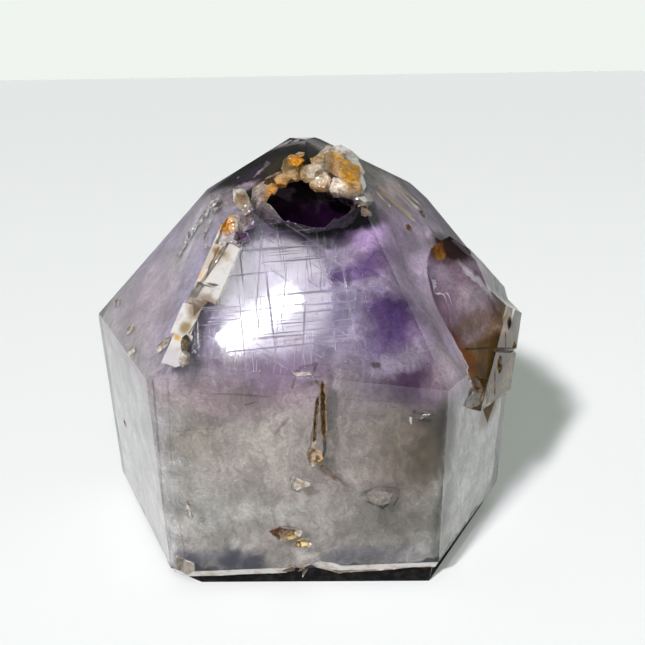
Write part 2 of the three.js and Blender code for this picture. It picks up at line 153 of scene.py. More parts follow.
IN_FACE = 0.03 * MM            # a facet with all its corners this near to a face's plane is part of the face
SHELL_MIDDLE = ("front", 2, 0) # the shell-shaped chip in the foot of the front face
SHELL_CHIP = 9.5 * MM          # how far it spreads
SHELL_TOP = RAW_FOOT + 3.6 * MM
FOOT_RIM = RAW_FOOT + 1.0 * MM # breaks below this are rough
BEVEL_TOP = 8 * MM
POLISHED, CLEFT, BROKEN, GROUND = 0, 1, 2, 3     # the skin's material slots, in their order


def ground_of(corners, middle, normal, area):
    """Whether a flat piece of the solid is polished, cleft smooth, broken rough or the raw ground below."""
    in_shell = np.linalg.norm(middle - place(*SHELL_MIDDLE)) < SHELL_CHIP and middle[2] < SHELL_TOP
    # the raw ground and the small facets of the shell chip get the near-black ground: painted shade under
    # the foot and in the chip
    if middle[2] < RAW_FOOT or in_shell and area < SMOOTH_FACET:
        return GROUND
    for n, d in FACES.values():
        if np.abs(corners @ n - d).max() < IN_FACE and n @ normal > 0.5:
            return POLISHED
    crown = np.linalg.norm(middle - place(*CRUST_MIDDLE)) < CROWN_RAW
    n, d = FACES["front"]
    if d - FRONT_BREAKS < n @ middle and middle[2] < FRONT_BREAKS_TOP and normal[2] > UNDERCUT:
        return BROKEN
    foot_bevel = FLAT_BELOW < normal[2] < UNDERCUT and RAW_FOOT < middle[2] < BEVEL_TOP
    if foot_bevel and area > SMOOTH_FACET:
        return CLEFT
    if area < SMOOTH_FACET or middle[2] < FOOT_RIM or crown:
        return BROKEN
    split = middle[2] > SPLIT_HEIGHT and middle[0] < SIDE_CRYSTAL_START
    return CLEFT if split else POLISHED


def ripple(points, wave, seed, count=28):
    """Smooth noise from about -1 to 1: the sum of plane waves of near that length in random directions."""
    dice = np.random.default_rng(seed)
    ways = dice.normal(size=(count, 3))
    ways *= (2 * math.pi / wave / np.linalg.norm(ways, axis=1) * dice.uniform(0.6, 1.5, count))[:, None]
    return np.sin(points @ ways.T + dice.uniform(0, 2 * math.pi, count)).sum(1) / math.sqrt(count)


def skin_mesh():
    """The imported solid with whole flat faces, rounded polished edges and rough broken ground."""
    bm = bmesh.new()
    bm.from_mesh(stone.data)
    bmesh.ops.remove_doubles(bm, verts=bm.verts, dist=MERGE_GAP)
    bmesh.ops.dissolve_limit(bm, angle_limit=FLAT_TURN, verts=bm.verts, edges=bm.edges)
    for face in bm.faces:
        corners = np.array([vert.co for vert in face.verts])
        face.material_index = ground_of(corners, corners.mean(0), np.array(face.normal), face.calc_area())
    rounded = [edge for edge in bm.edges
               if len(edge.link_faces) == 2 and edge.calc_length() > LEAST_ROUNDED
               and LEAST_TURN < edge.calc_face_angle(0) < MOST_TURN
               and all(face.material_index == POLISHED and face.calc_area() > WIDE_FACE
                       for face in edge.link_faces)]
    bmesh.ops.bevel(bm, geom=rounded, offset=EDGE_ROUND, offset_type="OFFSET", segments=ROUNDING_STEPS,
                    profile=0.5, affect="EDGES", clamp_overlap=True)
    bmesh.ops.triangulate(bm, faces=bm.faces)
    for _ in range(GRAIN_ROUNDS):
        long_edges = [edge for edge in bm.edges
                      if edge.calc_length() > GRAIN_STEP
                      and edge.verts[0].co.z + edge.verts[1].co.z > 2 * TABLE_GAP
                      and all(face.material_index == BROKEN for face in edge.link_faces)]
        bmesh.ops.subdivide_edges(bm, edges=long_edges, cuts=1)
        bmesh.ops.triangulate(bm, faces=[face for face in bm.faces if len(face.verts) > 3])
    mesh = bpy.data.meshes.new("stone_skin")
    inner = np.array([all(face.material_index == BROKEN for face in vert.link_faces) for vert in bm.verts])
    bm.normal_update()
    ways = np.array([vert.normal for vert in bm.verts])
    bm.to_mesh(mesh)
    bm.free()
    places = places_of(mesh)
    rise = sum(height * ripple(places, wave * MM, seed) for height, wave, seed in GRAINS)
    rise[places[:, 2] < TABLE_GAP] = 0
    places += ways * (np.where(inner, rise, 0) * MM)[:, None]
    mesh.vertices.foreach_set("co", places.astype(np.float32).ravel())
    mesh.update()
    return mesh


ON_FACE = 0.12 * MM            # a corner this near to a face's plane is taken to lie in it
SLIVER = 0.06 * MM             # a triangle lower than this has no sure way of its own
WHOLE_TURN = math.radians(30)  # a triangle in a face's plane that turns less than this from it is the face
SHARED_TURN = math.radians(50)           # and a corner in it shares in the face's normal up to this turn


def level_normals(mesh):
    """Gives each corner in a wide face the face's own normal, so that it mirrors as flat as polished stone,
    and each corner of a rounded edge the mean normal of the faces that it lies in."""
    index = np.empty(len(mesh.loops), int)
    mesh.loops.foreach_get("vertex_index", index)
    index = index.reshape(-1, 3)
    kind = np.empty(len(mesh.polygons), int)
    mesh.polygons.foreach_get("material_index", kind)
    corners = places_of(mesh)[index]
    normals = np.cross(corners[:, 1] - corners[:, 0], corners[:, 2] - corners[:, 0])
    size = np.linalg.norm(normals, axis=1)
    sliver = size < SLIVER * np.linalg.norm(corners - np.roll(corners, 1, 1), axis=2).max(1)
    normals /= np.maximum(size, 1e-15)[:, None]
    ways = np.array([n for n, _ in FACES.values()])
    reach = np.array([d for _, d in FACES.values()])
    near = (np.abs(corners @ ways.T - reach) < ON_FACE) & (kind == POLISHED)[:, None, None]
    turned = np.where(near.all(1), normals @ ways.T, -9)
    turned[sliver] += 2
    whole = turned.max(1) > math.cos(WHOLE_TURN)
    near &= (normals @ ways.T > math.cos(SHARED_TURN))[:, None, :]
    summed = near.astype(float) @ ways
    summed[whole] = ways[turned[whole].argmax(1)][:, None, :]
    length = np.linalg.norm(summed, axis=2)
    lone = length < 1e-6
    summed[lone] = np.broadcast_to(normals[:, None, :], summed.shape)[lone]
    summed /= np.maximum(np.linalg.norm(summed, axis=2), 1e-15)[:, :, None]
    mesh.normals_split_custom_set(summed.reshape(-1, 3).tolist())


def set_out(name, data):
    """A new object in the scene, untransformed."""
    thing = bpy.data.objects.new(name, data)
    bpy.context.collection.objects.link(thing)
    return thing


skin = set_out("stone_skin", skin_mesh())
level_normals(skin.data)


def new_material(name):
    """An empty material with a Principled shader and an output, not yet joined."""
    material = bpy.data.materials.new(name)
    material.use_nodes = True
    tree = material.node_tree
    tree.nodes.clear()
    out = tree.nodes.new("ShaderNodeOutputMaterial")
    return material, tree, tree.nodes.new("ShaderNodeBsdfPrincipled"), out


def new_group(name, inputs, outputs):
    """An empty shader node group. inputs are (name, kind, value), outputs are (name, kind)."""
    tree = bpy.data.node_groups.new(name, "ShaderNodeTree")
    for label, kind, value in inputs:
        socket = tree.interface.new_socket(label, in_out="INPUT", socket_type="NodeSocket" + kind)
        if value is not None:
            socket.default_value = value
    for label, kind in outputs:
        tree.interface.new_socket(label, in_out="OUTPUT", socket_type="NodeSocket" + kind)
    return tree, tree.nodes.new("NodeGroupInput").outputs, tree.nodes.new("NodeGroupOutput").inputs


def place_group(tree, group, values):
    """A placing of a node group, with its own values."""
    node = tree.nodes.new("ShaderNodeGroup")
    node.node_tree = group
    for label, value in values.items():
        node.inputs[label].default_value = value
    return node


def feed(tree, sockets, values):
    """Gives each socket its value: a link where the value is a socket, else the number or colour itself."""
    for socket, value in zip(sockets, values):
        if isinstance(value, bpy.types.NodeSocket):
            tree.links.new(value, socket)
        elif socket.type == "RGBA" and not isinstance(value, (int, float)):
            socket.default_value = (*value, 1)
        else:
            socket.default_value = value


def maths(tree, operation, *values):
    node = tree.nodes.new("ShaderNodeMath")
    node.operation = operation
    feed(tree, node.inputs, values)
    return node.outputs[0]


def vector_maths(tree, operation, *values):
    """A Vector Math node. Gives its number for a length or a product, else its vector."""
    node = tree.nodes.new("ShaderNodeVectorMath")
    node.operation = operation
    feed(tree, node.inputs, values)
    return node.outputs["Value" if operation in ("LENGTH", "DOT_PRODUCT") else "Vector"]


def scaled(tree, vector, factor):
    """A vector times a number."""
    node = tree.nodes.new("ShaderNodeVectorMath")
    node.operation = "SCALE"
    tree.links.new(vector, node.inputs[0])
    tree.links.new(factor, node.inputs["Scale"])
    return node.outputs[0]


def object_place(tree):
    """Places in metres on the piece itself."""
    return tree.nodes.new("ShaderNodeTexCoord").outputs["Object"]


def counted_from(tree, where, **sockets):
    """Places counted from a Location, turned back by a Rotation and divided by a Scale."""
    node = tree.nodes.new("ShaderNodeMapping")
    node.vector_type = "TEXTURE"
    tree.links.new(where, node.inputs["Vector"])
    for label, value in sockets.items():
        tree.links.new(value, node.inputs[label])
    return node.outputs[0]


def grain_cells(tree, where, scale, feature="F1"):
    """The outputs of a pattern of cells. The scale is in cells to the metre."""
    node = tree.nodes.new("ShaderNodeTexVoronoi")
    node.feature = feature
    node.inputs["Scale"].default_value = scale
    tree.links.new(where, node.inputs["Vector"])
    return node.outputs


def cloud_noise(tree, where, scale, detail=3.0, roughness=0.55, distortion=0.0):
    """Noise from 0 to 1 with its middle near 0.5. The scale is in waves to the metre."""
    node = tree.nodes.new("ShaderNodeTexNoise")
    for label, value in (("Scale", scale), ("Detail", detail), ("Roughness", roughness),
                         ("Distortion", distortion)):
        node.inputs[label].default_value = value
    tree.links.new(where, node.inputs["Vector"])
    return node.outputs["Fac"]


def fade(tree, value, low, high, to_low=0.0, to_high=1.0):
    """A smooth step of a value from low to high."""
    node = tree.nodes.new("ShaderNodeMapRange")
    node.interpolation_type = "SMOOTHSTEP"
    labels = ("Value", "From Min", "From Max", "To Min", "To Max")
    feed(tree, [node.inputs[label] for label in labels], (value, low, high, to_low, to_high))
    return node.outputs["Result"]


def blend_colour(tree, share, under, over, way="MIX"):
    """Colour over laid on colour under. Each is a socket or a plain colour, and so is the share."""
    node = tree.nodes.new("ShaderNodeMix")
    node.data_type = "RGBA"
    node.blend_type = way
    feed(tree, (node.inputs[0], node.inputs[6], node.inputs[7]), (share, under, over))
    return node.outputs[2]


def multiplied(tree, colour, by):
    """A colour times a grey or another colour."""
    return blend_colour(tree, 1.0, colour, by, "MULTIPLY")


def soft_spot_group():
    """A soft-edged ellipsoid in the stone: 1 in its middle, a half at its size, then 0."""
    tree, given, gives = new_group(
        "soft_spot",
        [("Vector", "Vector", None), ("Place", "Vector", None), ("Turn", "Vector", None),
         ("Size", "Vector", (1, 1, 1)), ("Softness", "Float", 0.5), ("Strength", "Float", 1.0)],
        [("Mask", "Float")])
    counted = counted_from(tree, given["Vector"], Location=given["Place"], Rotation=given["Turn"],
                           Scale=given["Size"])
    far = vector_maths(tree, "LENGTH", counted)
    inner = maths(tree, "SUBTRACT", 1.0, given["Softness"])
    outer = maths(tree, "ADD", 1.0, given["Softness"])
    mask = fade(tree, far, outer, inner)
    tree.links.new(maths(tree, "MULTIPLY", mask, given["Strength"]), gives["Mask"])
    return tree


CRACK_CORE = 0.35              # the share of its half width in which a line has its full strength


def crack_group():
    """A thin line from one place to another: 1 on it, 0 past its half width."""
    tree, given, gives = new_group(
        "crack_line",
        [("Vector", "Vector", None), ("Start", "Vector", None), ("End", "Vector", None),
         ("Half Width", "Float", 0.3 * MM)],
        [("Mask", "Float")])
    run = vector_maths(tree, "SUBTRACT", given["End"], given["Start"])
    here = vector_maths(tree, "SUBTRACT", given["Vector"], given["Start"])
    along = vector_maths(tree, "DOT_PRODUCT", here, run)
    share = maths(tree, "DIVIDE", along, vector_maths(tree, "DOT_PRODUCT", run, run))
    share = maths(tree, "MINIMUM", maths(tree, "MAXIMUM", share, 0.0), 1.0)
    far = vector_maths(tree, "LENGTH", vector_maths(tree, "SUBTRACT", here, scaled(tree, run, share)))
    core = maths(tree, "MULTIPLY", given["Half Width"], CRACK_CORE)
    tree.links.new(fade(tree, far, given["Half Width"], core), gives["Mask"])
    return tree


DRIFTS = [("Wide", 70.0), ("Fine", 420.0)]   # each with its waves to the metre


def drift_group():
    """Object places pushed about by two sizes of noise: what is laid out on them has wisps for edges."""
    tree, given, gives = new_group(
        "cloud_drift", [("Wide", "Float", 3 * MM), ("Fine", "Float", 1 * MM)], [("Vector", "Vector")])
    where = object_place(tree)
    total = where
    for amount, scale in DRIFTS:
        noise = tree.nodes.new("ShaderNodeTexNoise")
        noise.inputs["Scale"].default_value = scale
        noise.inputs["Detail"].default_value = 3.0
        tree.links.new(where, noise.inputs["Vector"])
        centred = vector_maths(tree, "SUBTRACT", noise.outputs["Color"], (0.5, 0.5, 0.5))
        total = vector_maths(tree, "ADD", total, scaled(tree, centred, given[amount]))
    tree.links.new(total, gives["Vector"])
    return tree


def scratches_group():
    """Polishing scratches: noise stretched into long thin streaks, of which only the sharpest are kept."""
    tree, given, gives = new_group(
        "polish_scratches",
        [("Turn", "Vector", None), ("Size", "Vector", (1, 1, 1)), ("Share", "Float", 0.7)],
        [("Mask", "Float")])
    stretched = counted_from(tree, object_place(tree), Rotation=given["Turn"], Scale=given["Size"])
    streaks = cloud_noise(tree, stretched, 1.0, 1.0)
    top = maths(tree, "ADD", given["Share"], 0.05)
    tree.links.new(fade(tree, streaks, given["Share"], top), gives["Mask"])
    return tree


SOFT_SPOT = soft_spot_group()
CRACK_LINE = crack_group()
CLOUD_DRIFT = drift_group()
POLISH_SCRATCHES = scratches_group()


def drifting_place(tree, wide, fine):
    """Object places pushed about by up to about these amounts, mm."""
    return place_group(tree, CLOUD_DRIFT, {"Wide": wide * MM, "Fine": fine * MM}).outputs["Vector"]


def turned_with(face, spin=0.0):
    """The turn that takes x, y and z to the right, the slope and the outside of a face, spun in the face."""
    n, _ = FACES[face]
    side = np.array([-n[1], n[0], 0.0]) / math.hypot(n[0], n[1])
    rise = np.cross(n, side)
    c, s = math.cos(math.radians(spin)), math.sin(math.radians(spin))
    return Matrix(np.stack([c * side + s * rise, c * rise - s * side, n], 1).tolist()).to_euler()


def spot(tree, where, face, across, height, out, size, softness=0.5, strength=1.0, spin=0.0):
    """The mask of one soft spot laid out on a face; size is its half widths to the right, up and out, mm."""
    node = place_group(tree, SOFT_SPOT, {
        "Place": place(face, across, height, out), "Turn": turned_with(face, spin),
        "Size": [half * MM for half in size], "Softness": softness, "Strength": strength})
    tree.links.new(where, node.inputs["Vector"])
    return node.outputs["Mask"]


def lay_spots(tree, where, colour, spots):
    """Lays soft spots one over another, face by face: each is (colour, across, height, out, size, ...)."""
    for face, face_spots in spots:
        for tint, *laid_out in face_spots:
            colour = blend_colour(tree, spot(tree, where, face, *laid_out), colour, tint)
    return colour


def strongest(tree, so_far, mask):
    """The larger of two masks, the first of which may be missing."""
    return mask if so_far is None else maths(tree, "MAXIMUM", so_far, mask)


def lay_cracks(tree, where, colour, cracks):
    """Draws lines face by face: each is (colour, half width, strength, corners), and each corner is
    (across, height) or (across, height, out)."""
    for face, face_cracks in cracks:
        for tint, half_width, strength, corners in face_cracks:
            total = None
            for start, end in zip(corners, corners[1:]):
                node = place_group(tree, CRACK_LINE, {
                    "Start": place(face, *start), "End": place(face, *end), "Half Width": half_width * MM})
                tree.links.new(where, node.inputs["Vector"])
                total = strongest(tree, total, node.outputs["Mask"])
            share = maths(tree, "MULTIPLY", total, strength)
            colour = blend_colour(tree, share, colour, tint)
    return colour


def scratch_sets(tree, sets):
    """The strongest of several sets of scratches: each is (face, spin, length, width, share), mm."""
    total = None
    for face, spin, length, width, share in sets:
        node = place_group(tree, POLISH_SCRATCHES, {
            "Turn": turned_with(face, spin), "Size": (length * MM, width * MM, 8 * MM), "Share": share})
        total = strongest(tree, total, node.outputs[0])
    return total


def bump(tree, height, distance, strength):
    node = tree.nodes.new("ShaderNodeBump")
    node.inputs["Strength"].default_value = strength
    node.inputs["Distance"].default_value = distance
    tree.links.new(height, node.inputs["Height"])
    return node.outputs["Normal"]


def let_lamps_through(tree, surface, tint, out):
    """Lamp light passes the skin unbent and tinted, so that it lights the clouds; the eye sees the skin."""
    ray = tree.nodes.new("ShaderNodeLightPath")
    through = tree.nodes.new("ShaderNodeBsdfTransparent")
    through.inputs["Color"].default_value = (*tint, 1)
    mix = tree.nodes.new("ShaderNodeMixShader")
    tree.links.new(ray.outputs["Is Shadow Ray"], mix.inputs["Fac"])
    tree.links.new(surface, mix.inputs[1])
    tree.links.new(through.outputs["BSDF"], mix.inputs[2])
    tree.links.new(mix.outputs["Shader"], out.inputs["Surface"])


# Clear quartz, polished: scratched by the wheel, tinted smoky on the side crystal and by iron in its
# cracks.

QUARTZ_IOR = 1.544
SCRATCH_SETS = [               # face, spin in degrees, length and width of a streak, mm, and where it starts
    ("front_slope", 2, 30, 0.40, 0.63), ("front_slope", 92, 30, 0.40, 0.63),
    ("front_slope", 82, 24, 0.36, 0.65), ("front_slope", -38, 24, 0.36, 0.68)]
SCRATCHED_SPOT = ("front_slope", -11, 74, 0, (19, 17, 3), 0.35)
SCRATCH_DEPTH = -0.02 * MM
SCRATCH_ROUGHNESS = 0.4
WORN_ROUGHNESS = 0.026         # what the polish lost round the scratches
POLISH_ROUGHNESS = (0.025, 0.06)
CLEAR = (0.96, 0.95, 0.965)
LAMP_THROUGH_CLEAR = (0.66, 0.65, 0.68)
CLEAR_TINT = (0.80, 0.72, 0.88)
CLEAR_DENSITY = 6.0
SKIN_TINTS = [
    ("front", [((0.965, 0.95, 0.915), 0, 28, 0, (36, 34, 4), 0.2, 0.9)]),
    ("side_crystal", [
        ((0.55, 0.38, 0.38), 28.5, 79.5, -1, (9, 5.0, 12), 0.35, 0.9),
        ((0.30, 0.18, 0.03), 22.3, 78.0, 0, (2.0, 1.3, 4), 0.6, 0.9),
        ((0.80, 0.66, 0.42), 27, 52, -1, (12, 6.5, 12), 0.4, 0.9),
        ((0.74, 0.56, 0.36), 36, 61, 2, (2.6, 5, 5), 0.4, 0.9, 30),
        ((0.96, 0.82, 0.56), 26, 51, 1.5, (3.4, 9, 4), 0.5, 0.9, 55),
        ((0.55, 0.25, 0.24), 17.5, 58.5, -1, (2.6, 3.0, 6), 0.6, 0.8),
        ((0.50, 0.24, 0.04), 20.0, 53.5, 0, (2.4, 6.4, 5), 0.6, 0.9, 20),
    ]),
    ("smoky_block", [
        ((0.50, 0.32, 0.10), 10, 50, 0, (14, 16, 5), 0.2, 0.97),
        ((0.24, 0.13, 0.03), 15.5, 52.0, 0, (5.5, 2.6, 5), 0.7, 0.85, -25),
        ((0.04, 0.02, 0.008), 17.6, 58.4, 0, (2.0, 1.9, 4), 0.6, 0.95),
        ((0.05, 0.025, 0.01), 19.2, 49.4, 0, (1.6, 1.2, 4), 0.6, 0.95),
        ((0.10, 0.055, 0.02), 10.6, 48.4, 0, (2.2, 1.8, 4), 0.6, 0.9),
    ]),
    ("right", [((0.16, 0.075, 0.012), 8, 36, 0, (7, 6, 4), 0.3, 0.95)]),
]
DARK_LINE = (0.03, 0.02, 0.015)
BROWN_LINE = (0.16, 0.09, 0.045)
SKIN_CRACKS = [
    ("front", [
        ((0.30, 0.12, 0.16), 0.35, 0.75, [(-22, 55.7), (-15, 55.2), (-9.0, 54.4)]),
        ((0.55, 0.40, 0.42), 0.35, 0.5, [(-25.5, 56), (-22, 55.7)]),
        ((0.50, 0.38, 0.42), 0.3, 0.55, [(-2.2, 54.1), (14, 52.6), (29.9, 51.2)]),
        ((0.25, 0.10, 0.14), 0.4, 0.8, [(-15, 52.4), (-13, 53.0)]),
        ((0.40, 0.20, 0.22), 0.7, 0.75, [(-8.3, 44.7), (-5.3, 48.3)]),
        ((0.35, 0.20, 0.20), 0.35, 0.7, [(-7.6, 44.4), (-6.6, 43.0)]),
    ]),
    ("front_left_strip", [
        (BROWN_LINE, 0.45, 0.8, [(-8.0, 58.7), (-8.6, 48), (-8.9, 39.4)]),
        ((0.4, 0.33, 0.26), 0.35, 0.7, [(-8.9, 39.4), (-9.4, 31.2), (-9.8, 24)]),
    ]),
    ("front", [
        ((0.45, 0.38, 0.32), 0.3, 0.65, [(-31.9, 59.9), (-33.0, 45), (-33.7, 33.3)]),
        ((0.40, 0.33, 0.28), 0.3, 0.6, [(-33.7, 33.3), (-33.2, 18), (-32.7, 5.5)]),
        ((0.40, 0.32, 0.26), 0.3, 0.6, [(-31.3, 45.8), (-26, 46.4), (-22, 46.1)]),
        (BROWN_LINE, 0.3, 0.85, [(-30.4, 26.2), (-30.5, 24), (-29.8, 21.3)]),
        (DARK_LINE, 0.3, 0.8, [(-5.2, 31.8), (-5.0, 28.5), (-3.3, 27.7), (-1.5, 30.1)]),
        (BROWN_LINE, 0.25, 0.6, [(-5.2, 31.8), (-3.9, 30.6), (-3.3, 28.2)]),
        (DARK_LINE, 0.42, 0.95, [(12.0, 26.0), (14.2, 23.5)]),
        (DARK_LINE, 0.5, 0.95, [(16.0, 23.3), (17.3, 21.9), (18.6, 23.0)]),
        (DARK_LINE, 0.4, 0.9, [(20.2, 22.6), (21.2, 24.9)]),
        (BROWN_LINE, 0.25, 0.7, [(12.0, 26.8), (16.1, 28.5), (21.4, 27.6), (21.2, 24.9)]),
        (BROWN_LINE, 0.25, 0.6, [(17.6, 28.2), (19.4, 25.5)]),
        (DARK_LINE, 0.75, 0.95, [(24.3, 49.4), (25.6, 48.3)]),
        (DARK_LINE, 0.8, 0.95, [(25.9, 47.2), (27.9, 46.8)]),
        (BROWN_LINE, 0.3, 0.75, [(25.4, 49.4), (29.0, 48.2)]),
        (BROWN_LINE, 0.35, 0.85, [(1.3, 58.5), (2.6, 55.5), (1.7, 53.3), (0.2, 43.2), (-0.9, 37.4)]),
        (BROWN_LINE, 0.3, 0.85, [(3.1, 55.4), (3.4, 47.1), (2.8, 44.3)]),
        (DARK_LINE, 0.65, 1.0, [(3.2, 44.3), (3.3, 41), (2.9, 38.1)]),
        ((0.20, 0.08, 0.08), 0.7, 0.85, [(2.3, 34.9), (4.4, 32.6), (6.1, 30.8)]),
        (BROWN_LINE, 0.35, 0.85, [(-4.0, 56.8), (-3.6, 58.4), (-3.0, 59.7)]),
    ]),
    ("front_slope", [
        (BROWN_LINE, 0.45, 0.85, [(-8.2, 60.2), (-6.4, 61.4), (-3.0, 61.5), (-4.0, 60.2)]),
        ((0.10, 0.04, 0.01), 1.1, 0.9, [(9.9, 60.5), (11.0, 60.5)]),
        (DARK_LINE, 0.5, 0.9, [(-2.4, 71.3), (-2.2, 71.3)]),
        ((0.35, 0.06, 0.05), 0.5, 0.8, [(-7.9, 66.1), (-7.2, 66.3)]),
    ]),
    ("smoky_block", [
        (DARK_LINE, 0.5, 0.95, [(13.1, 57.2), (12.9, 52.8)]),
        (DARK_LINE, 0.5, 0.9, [(3.5, 55.5), (23.6, 48.0)]),
        (DARK_LINE, 0.55, 0.95, [(4.5, 49.2), (3.9, 42.5)]),
    ]),
    ("side_crystal", [
        (DARK_LINE, 0.4, 0.9, [(19.9, 56.0), (27.0, 54.8), (34.3, 53.5)]),
        ((0.10, 0.06, 0.02), 0.5, 0.9, [(21.3, 79.0), (22.6, 78.2), (24.0, 79.4)]),
        ((0.30, 0.20, 0.10), 0.4, 0.8, [(12.0, 69.0), (14.6, 60.0), (17.4, 57.6)]),
    ]),
]


def clear_quartz():
    material, tree, shader, out = new_material("clear_quartz")
    where = drifting_place(tree, 2.0, 1.0)
    colour = lay_spots(tree, where, CLEAR, SKIN_TINTS)
    colour = lay_cracks(tree, drifting_place(tree, 0.6, 0.6), colour, SKIN_CRACKS)
    tree.links.new(colour, shader.inputs["Base Color"])
    lines = scratch_sets(tree, SCRATCH_SETS)
    scratched = spot(tree, where, *SCRATCHED_SPOT)
    lines = maths(tree, "MULTIPLY", lines, scratched)
    smear = fade(tree, cloud_noise(tree, where, 60.0, 4.0), 0.35, 0.75, *POLISH_ROUGHNESS)
    smear = maths(tree, "MULTIPLY_ADD", scratched, WORN_ROUGHNESS, smear)
    tree.links.new(maths(tree, "MULTIPLY_ADD", lines, SCRATCH_ROUGHNESS, smear), shader.inputs["Roughness"])
    tree.links.new(bump(tree, lines, SCRATCH_DEPTH, 0.6), shader.inputs["Normal"])
    shader.inputs["IOR"].default_value = QUARTZ_IOR
    shader.inputs["Transmission Weight"].default_value = 1.0
    let_lamps_through(tree, shader.outputs["BSDF"], LAMP_THROUGH_CLEAR, out)
    tint = tree.nodes.new("ShaderNodeVolumeAbsorption")
    tint.inputs["Color"].default_value = (*CLEAR_TINT, 1)
    tint.inputs["Density"].default_value = CLEAR_DENSITY
    tree.links.new(tint.outputs["Volume"], out.inputs["Volume"])
    return material
